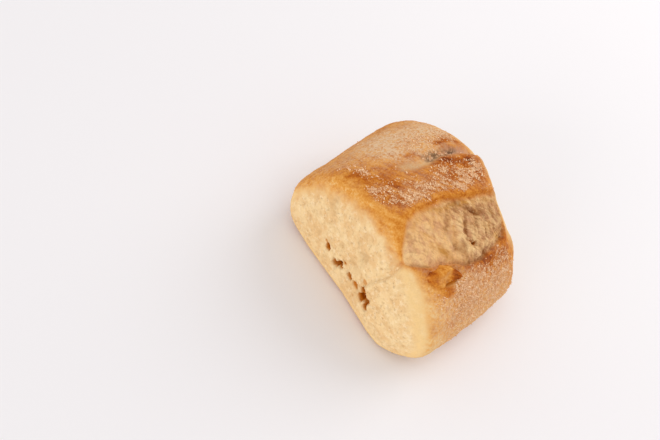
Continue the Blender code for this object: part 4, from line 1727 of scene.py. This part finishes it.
class Bench:
    """Adds and joins the nodes of one material."""

    def __init__(self, name: str, specular: float) -> None:
        """Start a material.

        Args:
            name: The material's name.
            specular: How much of the light glances off its surface.
        """
        self.material = bpy.data.materials.new(name)
        self.material.use_nodes = True
        self.tree = self.material.node_tree
        self.shader = self.tree.nodes["Principled BSDF"]
        self.place = self.tree.nodes.new("ShaderNodeTexCoord").outputs["Object"]
        self.shader.inputs["Specular IOR Level"].default_value = specular

    def plug(self, socket: bpy.types.NodeSocket, value: Number | Tint) -> None:
        """Link or set a socket.

        Args:
            socket: The socket.
            value: The socket it is linked to, or the number or colour it is set to.
        """
        if isinstance(value, bpy.types.NodeSocket):
            self.tree.links.new(value, socket)
        else:
            socket.default_value = value

    def node(
        self, kind: str, inputs: dict[str | int, Number | Tint], **options: str | bool
    ) -> bpy.types.Node:
        """Add a node.

        Args:
            kind: The node's type, as it ends.
            inputs: What each input is linked or set to.
            options: The node's own settings.

        Returns:
            The node.
        """
        node = self.tree.nodes.new(f"ShaderNode{kind}")
        for name, option in options.items():
            setattr(node, name, option)
        for key, value in inputs.items():
            self.plug(node.inputs[key], value)
        return node

    def attribute(self, name: str) -> Number:
        """Read a mask of the piece."""
        return self.node("Attribute", {}, attribute_name=name).outputs["Fac"]

    def join(self, way: Joining, first: Number, second: Number, clamp: bool = False) -> Number:
        """Join two numbers."""
        inputs = {0: first, 1: second}
        return self.node("Math", inputs, operation=way.value, use_clamp=clamp).outputs[0]

    def product(self, first: Number, *others: Number, clamp: bool = False) -> Number:
        """Multiply numbers, the last product kept from 0 to 1 where that is wanted.

        Args:
            first: The first number.
            others: What it is multiplied by, in turn.
            clamp: Whether the result is kept from 0 to 1.

        Returns:
            The product.
        """
        for index, other in enumerate(others):
            last = index == len(others) - 1
            first = self.join(Joining.TIMES, first, other, clamp and last)
        return first

    def noise(self, millimetres: float, detail: float = 3.0, roughness: float = 0.55) -> Number:
        """Make a cloudy pattern.

        Args:
            millimetres: The size of its clouds.
            detail: How many finer layers it has.
            roughness: How strong the finer layers are.

        Returns:
            The pattern, from 0 to 1.
        """
        inputs = {"Vector": self.place, "Scale": 1.0 / (millimetres * MM), "Detail": detail}
        return self.node("TexNoise", inputs | {"Roughness": roughness}).outputs["Fac"]

    def strands(
        self, size: tuple[float, float, float], turn: float, detail: float = 3.0
    ) -> Number:
        """Make a pattern drawn out into strands.

        Args:
            size: The size of a strand along its own three axes, in millimetres.
            turn: How far it is turned about the upright axis, in degrees.
            detail: How many finer layers it has.

        Returns:
            The pattern, from 0 to 1.
        """
        inputs = {
            "Vector": self.place,
            "Rotation": (0.0, 0.0, math.radians(turn)),
            "Scale": tuple(value * MM for value in size),
        }
        place = self.node("Mapping", inputs, vector_type="TEXTURE").outputs["Vector"]
        inputs = {"Vector": place, "Scale": 1.0, "Detail": detail, "Roughness": 0.6}
        return self.node("TexNoise", inputs).outputs["Fac"]

    def strayed(self, millimetres: float) -> bpy.types.NodeSocket:
        """Lead the place astray.

        Args:
            millimetres: By how much, at the most.

        Returns:
            The place that was led astray.
        """
        inputs = {"Vector": self.place, "Scale": 0.5 / (millimetres * MM)}
        clouds = self.node("TexNoise", inputs).outputs["Color"]
        inputs = {0: clouds, 1: (4.0 * millimetres * MM,) * 3, 2: self.place}
        return self.node("VectorMath", inputs, operation="MULTIPLY_ADD").outputs["Vector"]

    def cells(self, millimetres: float, astray: float = 0.0) -> tuple[Number, Number]:
        """Scatter points all over.

        Args:
            millimetres: How far apart the points are.
            astray: How far their cells are led astray, in millimetres.

        Returns:
            The distance to the nearest point, and that point's own tone.
        """
        place = self.strayed(astray) if astray else self.place
        inputs = {"Vector": place, "Scale": 1.0 / (millimetres * MM)}
        node = self.node("TexVoronoi", inputs)
        return node.outputs["Distance"], node.outputs["Color"]

    def between(
        self, value: Number, low: float, high: float, start: float = 0.0, end: float = 1.0
    ) -> Number:
        """Map a range smoothly onto another.

        Args:
            value: The number to map.
            low: Where its range starts.
            high: Where its range ends.
            start: The result at the range's start.
            end: The result at the range's end.

        Returns:
            The mapped number.
        """
        inputs = {
            "Value": value, "From Min": low, "From Max": high, "To Min": start, "To Max": end,
        }
        return self.node("MapRange", inputs, interpolation_type="SMOOTHSTEP").outputs["Result"]

    def mix(
        self, share: Number, first: Tint, second: Number | Tint, blend: Blend = Blend.MIXED
    ) -> Tint:
        """Mix two colours.

        Args:
            share: How much of the second there is, from 0 to 1.
            first: The colour underneath.
            second: The colour, or the grey value, put over it.
            blend: How the two are joined.

        Returns:
            The mixed colour.
        """
        inputs = {0: share, 6: first, 7: second}
        return self.node("Mix", inputs, data_type="RGBA", blend_type=blend.value).outputs[2]

    def ramp(self, value: Number, stops: tuple[tuple[float, Colour], ...]) -> Tint:
        """Colour a number by stops.

        Args:
            value: The number.
            stops: The places of the stops, from 0 to 1, with their colours.

        Returns:
            The colour.
        """
        node = self.node("ValToRGB", {"Fac": value})
        elements = node.color_ramp.elements
        while len(elements) < len(stops):
            elements.new(1.0)
        for element, (place, colour) in zip(elements, stops):
            element.position = place
            element.color = colour
        return node.outputs["Color"]

    def bump(
        self, height: Number, strength: float, millimetres: float,
        under: bpy.types.NodeSocket | None = None,
    ) -> bpy.types.NodeSocket:
        """Turn a height into a bump.

        Args:
            height: The height, from 0 to 1.
            strength: How strongly it is felt.
            millimetres: How high a height of 1 is.
            under: The bump that it lies on, where there is one.

        Returns:
            The bumped normal.
        """
        inputs = {"Strength": strength, "Distance": millimetres * MM, "Height": height}
        if under is not None:
            inputs["Normal"] = under
        return self.node("Bump", inputs).outputs["Normal"]


@dataclass(frozen=True)
class Clouds:
    """A cloudy pattern, a range of which is mapped onto a share."""

    size: float
    detail: float
    roughness: float
    low: float
    high: float
    start: float = 0.0
    end: float = 1.0

    def share(self, bench: Bench) -> Number:
        """Return the share, from its start to its end."""
        cloud = bench.noise(self.size, self.detail, self.roughness)
        return bench.between(cloud, self.low, self.high, self.start, self.end)


@dataclass(frozen=True)
class CrustFinish:
    """Baked crust under a film and flecks of flour."""

    straw: Colour = from_srgb(238, 198, 136)
    golden: Colour = from_srgb(231, 166, 84)
    amber: Colour = from_srgb(210, 134, 50)
    brown: Colour = from_srgb(184, 100, 28)
    chestnut: Colour = from_srgb(146, 68, 22)
    burnt: Colour = from_srgb(92, 40, 16)
    film: Colour = from_srgb(226, 192, 154)
    fleck: Colour = from_srgb(240, 206, 158)
    gap: Colour = from_srgb(152, 84, 34)
    ashen: Colour = from_srgb(104, 76, 50)
    pale: Colour = from_srgb(220, 186, 140)
    rosy: Colour = from_srgb(202, 162, 136)
    streak_size: tuple[float, float, float] = (8.0, 2.2, 2.6)
    drift_size: tuple[float, float, float] = (6.0, 2.6, 3.0)
    fleck_apart: float = 0.85
    fleck_edge: Range = (0.26, 0.38)
    flecks_kept: Range = (0.25, 0.7)
    drifts: Mapped = (0.42, 0.58, 0.2, 1.3)
    baked_specks: Mapped = (0.3, 0.7, -0.10, 0.10)
    baked_streaks: Mapped = (0.34, 0.66, -0.10, 0.10)
    tinted_specks: Mapped = (0.3, 0.6, 0.4, 1.0)
    film_clouds: Clouds = Clouds(1.2, 4.0, 0.7, 0.34, 0.66, 0.25, 1.6)
    ashen_spots: Clouds = Clouds(2.0, 3.0, 0.55, 0.40, 0.54, 0.0, 0.95)
    rosy_around: float = 0.5
    gaps: Clouds = Clouds(0.8, 3.0, 0.7, 0.50, 0.66, 0.0, 0.75)

    def colour(self, bench: Bench, speck: Number) -> Tint:
        """Mix the colour of the crust.

        Args:
            bench: Where the material is made.
            speck: A fine pattern that all of the bread shares.

        Returns:
            The colour, flour and all.
        """
        specks = bench.between(speck, *self.baked_specks)
        bake = bench.join(Joining.PLUS, bench.attribute("bake"), specks)
        streak = bench.strands(self.streak_size, STREAK_TURN)
        bake = bench.join(Joining.PLUS, bake, bench.between(streak, *self.baked_streaks))
        colour = bench.ramp(bake, (
            (0.00, self.straw), (0.20, self.golden), (0.42, self.amber), (0.62, self.brown),
            (0.82, self.chestnut), (1.00, self.burnt),
        ))
        film = bench.product(bench.attribute("film"), self.film_clouds.share(bench), clamp=True)
        colour = bench.mix(film, colour, self.film)
        for name, tint in (("pale", self.pale), ("rosy", self.rosy)):
            specks = bench.between(speck, *self.tinted_specks)
            colour = bench.mix(bench.product(bench.attribute(name), specks), colour, tint)
        ashen = bench.attribute("ashen")
        colour = bench.mix(bench.product(ashen, self.rosy_around), colour, self.rosy)
        spots = bench.product(ashen, self.ashen_spots.share(bench))
        colour = bench.mix(spots, colour, self.ashen)
        flour = bench.attribute("flour")
        colour = bench.mix(bench.product(self.gaps.share(bench), flour), colour, self.gap)
        return self.flecked(bench, colour, flour)

    def flecked(self, bench: Bench, colour: Tint, flour: Number) -> Tint:
        """Stick fine flecks of flour to the crust.

        Args:
            bench: Where the material is made.
            colour: The colour underneath.
            flour: How floury each place is.

        Returns:
            The flecked colour.
        """
        distance, tone = bench.cells(self.fleck_apart)
        fleck = bench.between(distance, *self.fleck_edge, 1.0, 0.0)
        kept = bench.between(tone, *self.flecks_kept)
        drift = bench.between(bench.strands(self.drift_size, STREAK_TURN), *self.drifts)
        return bench.mix(bench.product(fleck, kept, flour, drift, clamp=True), colour, self.fleck)


@dataclass(frozen=True)
class CrumbFinish:
    """Pale crumb with small bubbles greyed by painted shade, and a smooth rind at its rim."""

    cream: Colour = from_srgb(241, 209, 158)
    deep: Colour = from_srgb(232, 192, 138)
    # The grey of painted shade in the bubbles and the dishes.
    shade_grey: Colour = from_srgb(204, 164, 114)
    light: Colour = from_srgb(250, 224, 182)
    rind: Colour = from_srgb(241, 204, 144)
    bubbles: tuple[tuple[float, float, float], ...] = (
        (4.0, 0.6, 0.4), (2.0, 0.5, 0.4), (1.1, 0.5, 0.45),
    )
    bubble_astray: float = 0.35
    bubble_floor: float = 0.05
    bubbles_kept: Range = (0.35, 0.85)
    deep_clouds: Clouds = Clouds(7.0, 4.0, 0.6, 0.40, 0.60)
    light_clouds: Clouds = Clouds(2.2, 4.0, 0.7, 0.50, 0.66, 0.0, 0.7)
    rind_clouds: Clouds = Clouds(3.0, 4.0, 0.65, 0.35, 0.65, 0.55, 1.0)
    dish_shade_specks: Mapped = (0.3, 0.6, 0.6, 1.0)
    shading: Mapped = (0.3, 0.7, 0.96, 1.02)

    def hollows(self, bench: Bench) -> Number:
        """Tell how deep each place lies in the crumb's small bubbles, for their painted shade and
        their bump.

        Args:
            bench: Where the material is made.

        Returns:
            0 on the walls between them, and more towards the middle of each.
        """
        deep = 0.0
        for size, rim, share in self.bubbles:
            distance, tone = bench.cells(size, self.bubble_astray * size)
            bubble = bench.between(distance, self.bubble_floor, rim, share, 0.0)
            kept = bench.between(tone, *self.bubbles_kept)
            deep = bench.join(Joining.LARGER, deep, bench.product(bubble, kept))
        return bench.product(deep, bench.join(Joining.LESS, 1.0, bench.attribute("rind")))

    def colour(self, bench: Bench, speck: Number, hollows: Number) -> Tint:
        """Mix the colour of the crumb.

        Args:
            bench: Where the material is made.
            speck: A fine pattern that all of the bread shares.
            hollows: How deep each place lies in the small bubbles, greyed as painted shade.

        Returns:
            The colour.
        """
        colour = bench.mix(self.deep_clouds.share(bench), self.cream, self.deep)
        colour = bench.mix(self.light_clouds.share(bench), colour, self.light)
        # Painted shade in the small bubbles.
        colour = bench.mix(hollows, colour, self.shade_grey)
        # Painted shade in the shallow dishes.
        dishes = bench.product(bench.attribute("dish"), bench.between(speck, *self.dish_shade_specks))
        colour = bench.mix(dishes, colour, self.shade_grey)
        rind = bench.product(bench.attribute("rind"), self.rind_clouds.share(bench))
        colour = bench.mix(rind, colour, self.rind)
        return bench.mix(1.0, colour, bench.between(speck, *self.shading), Blend.SHADED)


@dataclass(frozen=True)
class TornFinish:
    """Torn crumb in the opened score, with light ridges, painted shade in its gaps and low places,
    and painted highlights on its raised strands.
    """

    near: Colour = from_srgb(229, 177, 118)
    far: Colour = from_srgb(214, 164, 114)
    light: Colour = from_srgb(240, 200, 144)
    # The brown of painted shade in the low places, the gaps and the crevices.
    low: Colour = from_srgb(140, 84, 40)
    golden: Colour = from_srgb(206, 148, 76)
    rosy: Colour = from_srgb(200, 142, 108)
    coarse_strand: tuple[tuple[float, float, float], float, float] = ((6.0, 2.2, 2.8), -14.0, 2.0)
    fine_strand: tuple[tuple[float, float, float], float, float] = ((3.4, 0.9, 1.4), 38.0, 3.0)
    low_heights: Mapped = (0.08, 0.5, 0.45, 0.0)
    golden_clouds: Clouds = Clouds(3.6, 3.0, 0.55, 0.52, 0.66, 0.0, 0.35)
    rosy_clouds: Clouds = Clouds(4.2, 4.0, 0.65, 0.46, 0.60, 0.0, 0.5)
    streaky: Mapped = (0.0, 0.8, 0.5, 1.0)
    highlit_strands: Mapped = (0.50, 0.66, 0.0, 0.6)
    shaded_strands: Mapped = (0.36, 0.47, 0.40, 0.0)
    torn_shade_specks: Mapped = (0.3, 0.6, 0.5, 1.0)
    shading: Mapped = (0.3, 0.7, 0.93, 1.05)
    rough: Mapped = (0.0, 0.8, 0.35, 1.0)
    strand_bump: Range = (0.6, 1.3)

    def colour(self, bench: Bench, speck: Number) -> Tint:
        """Mix the colour of the torn crumb.

        Args:
            bench: Where the material is made.
            speck: A fine pattern that all of the bread shares.

        Returns:
            The colour.
        """
        colour = bench.mix(bench.attribute("distant"), self.near, self.far)
        colour = bench.mix(bench.attribute("light"), colour, self.light)
        # Painted shade in the low places of the torn relief.
        low = bench.between(bench.attribute("height"), *self.low_heights)
        colour = bench.mix(low, colour, self.low)
        colour = bench.mix(self.golden_clouds.share(bench), colour, self.golden)
        colour = bench.mix(self.rosy_clouds.share(bench), colour, self.rosy)
        colour = bench.mix(bench.attribute("gold"), colour, self.golden)
        distant = bench.between(bench.attribute("distant"), *self.streaky)
        # Paler raised strands with a painted highlight, and painted shade in the gaps between them.
        for strand in (self.coarse_strand, self.fine_strand):
            height = bench.strands(*strand)
            light = bench.product(bench.between(height, *self.highlit_strands), distant)
            colour = bench.mix(light, colour, self.light)
            painted_shade = bench.product(bench.between(height, *self.shaded_strands), distant)
            colour = bench.mix(painted_shade, colour, self.low)
        # Painted shade in the crevices and along the foot of the lower lip.
        torn_shade = bench.product(bench.attribute("torn_shade"), bench.between(speck, *self.torn_shade_specks))
        colour = bench.mix(torn_shade, colour, self.low)
        return bench.mix(1.0, colour, bench.between(speck, *self.shading), Blend.SHADED)

    def roughened(self, bench: Bench, under: bpy.types.NodeSocket) -> bpy.types.NodeSocket:
        """Raise the fine strands of the torn crumb.

        Args:
            bench: Where the material is made.
            under: The bump that they lie on.

        Returns:
            The bumped normal.
        """
        rough = bench.between(bench.attribute("distant"), *self.rough)
        rough = bench.product(rough, bench.attribute("bloom"))
        height = bench.product(bench.strands(*self.fine_strand), rough)
        return bench.bump(height, *self.strand_bump, under)


@dataclass(frozen=True)
class BreadFinish:
    """Crust, crumb, torn crumb and the painted shade of holes, cracks and the flake's gap, told
    apart by the piece's masks.
    """

    crust: CrustFinish = field(default_factory=CrustFinish)
    crumb: CrumbFinish = field(default_factory=CrumbFinish)
    torn: TornFinish = field(default_factory=TornFinish)
    # Painted shade: honey at the rim of a hole, brown and then deep brown towards its bottom.
    honey: Colour = from_srgb(220, 160, 88)
    hole: Colour = from_srgb(184, 102, 16)
    deep: Colour = from_srgb(134, 62, 3)
    hole_shade_edge: Range = (0.05, 0.45)
    hole_shade_stops: tuple[float, float, float] = (0.0, 0.7, 1.0)
    dullness: Mapped = (0.35, 0.85, 0.9, 0.6)
    fine_bump: Range = (0.4, 0.25)
    coarse_bump: Range = (0.5, 0.6)
    bubble_bump: Range = (0.8, 0.8)
    specular: float = 0.03

    def material(self) -> bpy.types.Material:
        """Build the bread's material.

        Returns:
            The material.
        """
        bench = Bench("bread", self.specular)
        speck = bench.noise(0.8, 3.0, 0.65)
        crumb = bench.attribute("crumb")
        hollows = self.crumb.hollows(bench)
        crust = self.crust.colour(bench, speck)
        skin = bench.mix(crumb, crust, self.crumb.colour(bench, speck, hollows))
        skin = bench.mix(bench.attribute("bloom"), skin, self.torn.colour(bench, speck))
        # Painted shade in holes, pits, cracks and under the flake's tip, browner the deeper it
        # lies.
        painted_shade = bench.attribute("painted_shade")
        stops = tuple(zip(self.hole_shade_stops, (self.honey, self.hole, self.deep)))
        skin = bench.mix(bench.between(painted_shade, *self.hole_shade_edge), skin, bench.ramp(painted_shade, stops))
        bench.plug(bench.shader.inputs["Base Color"], skin)
        dull = bench.between(bench.attribute("bake"), *self.dullness)
        bench.plug(bench.shader.inputs["Roughness"], dull)
        fine = bench.bump(bench.noise(0.5, 3.0, 0.6), *self.fine_bump)
        coarse = bench.bump(bench.noise(1.8, 4.0, 0.6), *self.coarse_bump, fine)
        pitted = bench.bump(bench.product(hollows, crumb, -1.0), *self.bubble_bump, coarse)
        bench.plug(bench.shader.inputs["Normal"], self.torn.roughened(bench, pitted))
        return bench.material


@dataclass(frozen=True)
class FlourFinish:
    """Dry, pale grains, some whiter than others."""

    pale: Colour = from_srgb(252, 222, 184)
    toasted: Colour = from_srgb(216, 158, 104)
    roughness: float = 0.9
    specular: float = 0.2

    def material(self) -> bpy.types.Material:
        """Build the flour's material.

        Returns:
            The material.
        """
        bench = Bench("coarse_flour", self.specular)
        uneven = bench.between(bench.noise(0.4), 0.3, 0.7, -0.2, 0.2)
        tone = bench.join(Joining.PLUS, bench.attribute("tone"), uneven)
        bench.plug(bench.shader.inputs["Base Color"], bench.mix(tone, self.pale, self.toasted))
        bench.plug(bench.shader.inputs["Roughness"], self.roughness)
        bench.plug(bench.shader.inputs["Normal"], bench.bump(bench.noise(0.2), 0.3, 0.1))
        return bench.material


@dataclass(frozen=True)
class TableFinish:
    """The plain pale surface that the bread lies on."""

    colour: Colour = from_srgb(241, 239, 242)
    roughness: float = 0.9
    specular: float = 0.5

    def material(self) -> bpy.types.Material:
        """Build the surface's material.

        Returns:
            The material.
        """
        bench = Bench("table", self.specular)
        bench.plug(bench.shader.inputs["Base Color"], self.colour)
        bench.plug(bench.shader.inputs["Roughness"], self.roughness)
        return bench.material


# --------------------------------------------------------------------------- studio


@dataclass(frozen=True)
class PhotoCamera:
    """The camera, where the photograph was taken from."""

    azimuth: float = 30.0
    elevation: float = 50.0
    roll: float = 27.0
    distance: float = 423.3
    lens: float = 50.0
    sensor: float = 36.0
    target: tuple[float, float, float] = (-0.4, 0.5, 20.0)
    target_pixel: tuple[float, float] = (407.9, 230.0)
    picture: tuple[int, int] = (660, 440)
    nearest: float = 0.01

    def facing(self) -> tuple[Vector, Matrix]:
        """Work out which way the camera faces.

        Returns:
            The direction back from the target, and the camera's turn, which brings the
            target to its pixel.
        """
        around, above, roll = (math.radians(v) for v in (self.azimuth, self.elevation, self.roll))
        back = Vector((math.sin(around) * math.cos(above),
                       -math.cos(around) * math.cos(above), math.sin(above)))
        level = Vector((math.cos(around), math.sin(around), 0.0))
        upward = back.cross(level)
        right = level * math.cos(roll) + upward * math.sin(roll)
        up = upward * math.cos(roll) - level * math.sin(roll)
        turn = Matrix((right, up, back)).transposed()
        pixels = self.lens / self.sensor * self.picture[0]
        aside = (self.target_pixel[0] - self.picture[0] / 2.0) / pixels
        below = (self.target_pixel[1] - self.picture[1] / 2.0) / pixels
        sight = turn @ Vector((aside, -below, -1.0)).normalized()
        return back, sight.rotation_difference(-back).to_matrix() @ turn

    def build(self) -> None:
        """Build the camera and look through it."""
        data = bpy.data.cameras.new("camera")
        data.lens = self.lens
        data.sensor_width = self.sensor
        data.clip_start = self.nearest
        camera = bpy.data.objects.new("camera", data)
        back, turn = self.facing()
        place = Vector(self.target) * MM + back * self.distance * MM
        camera.matrix_world = Matrix.Translation(place) @ turn.to_4x4()
        bpy.context.scene.collection.objects.link(camera)
        bpy.context.scene.camera = camera


@dataclass(frozen=True)
class Lamp:
    """One soft lamp of the studio."""

    name: str
    place: tuple[float, float, float]
    size: float
    power: float
    colour: tuple[float, float, float] = (1.0, 0.98, 0.95)
    aim: tuple[float, float, float] = (0.0, 0.0, 0.02)

    def build(self) -> None:
        """Hang the lamp and turn it to the bread."""
        data = bpy.data.lights.new(self.name, "AREA")
        data.shape = "DISK"
        data.size = self.size
        data.energy = self.power
        data.color = self.colour
        lamp = bpy.data.objects.new(self.name, data)
        lamp.location = self.place
        towards = Vector(self.aim) - Vector(self.place)
        lamp.rotation_mode = "QUATERNION"
        lamp.rotation_quaternion = towards.to_track_quat("-Z", "Y")
        bpy.context.scene.collection.objects.link(lamp)


@dataclass
class Studio:
    """The pale table, the soft light and the camera."""

    table_size: float = 3.0
    sky: float = 0.78
    sky_colour: Colour = (1.0, 0.985, 0.975, 1.0)
    lamps: tuple[Lamp, ...] = (
        Lamp("key", (0.1, 0.9, 0.75), 1.0, 5.4),
        Lamp("fill", (0.2, -1.9, 0.36), 1.4, 13.2),
    )

    def build(self) -> None:
        """Build the table, the sky, the lamps and the camera."""
        block = bmesh.new()
        bmesh.ops.create_grid(block, x_segments=1, y_segments=1, size=self.table_size / 2.0)
        table = new_piece("table", block)
        table.data.materials.append(TableFinish().material())
        world = bpy.data.worlds.new("studio")
        world.use_nodes = True
        background = world.node_tree.nodes["Background"]
        background.inputs["Color"].default_value = self.sky_colour
        background.inputs["Strength"].default_value = self.sky
        bpy.context.scene.world = world
        for lamp in self.lamps:
            lamp.build()
        PhotoCamera().build()
        bpy.context.scene.view_settings.view_transform = "Standard"


def dress(piece: bpy.types.Object, material: bpy.types.Material) -> None:
    """Give a piece its material and let it ride on the bread's body.

    Args:
        piece: The piece.
        material: What it is made of.
    """
    piece.data.materials.append(material)
    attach(piece, BODY)
    LOG.info("%s: %d faces", piece.name, len(piece.data.polygons))


def main() -> None:
    """Build the studio, then the bread, its flake and its flour."""
    logging.basicConfig(level=logging.INFO, format="%(name)s: %(message)s")
    Studio().build()
    loaf = Bread()
    bread = loaf.build()
    finish = BreadFinish().material()
    dress(bread, finish)
    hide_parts(NODE)
    dress(LiftedFlake().build(loaf), finish)
    dress(FlourDusting().build(bread), FlourFinish().material())


if __name__ == "__main__":
    main()
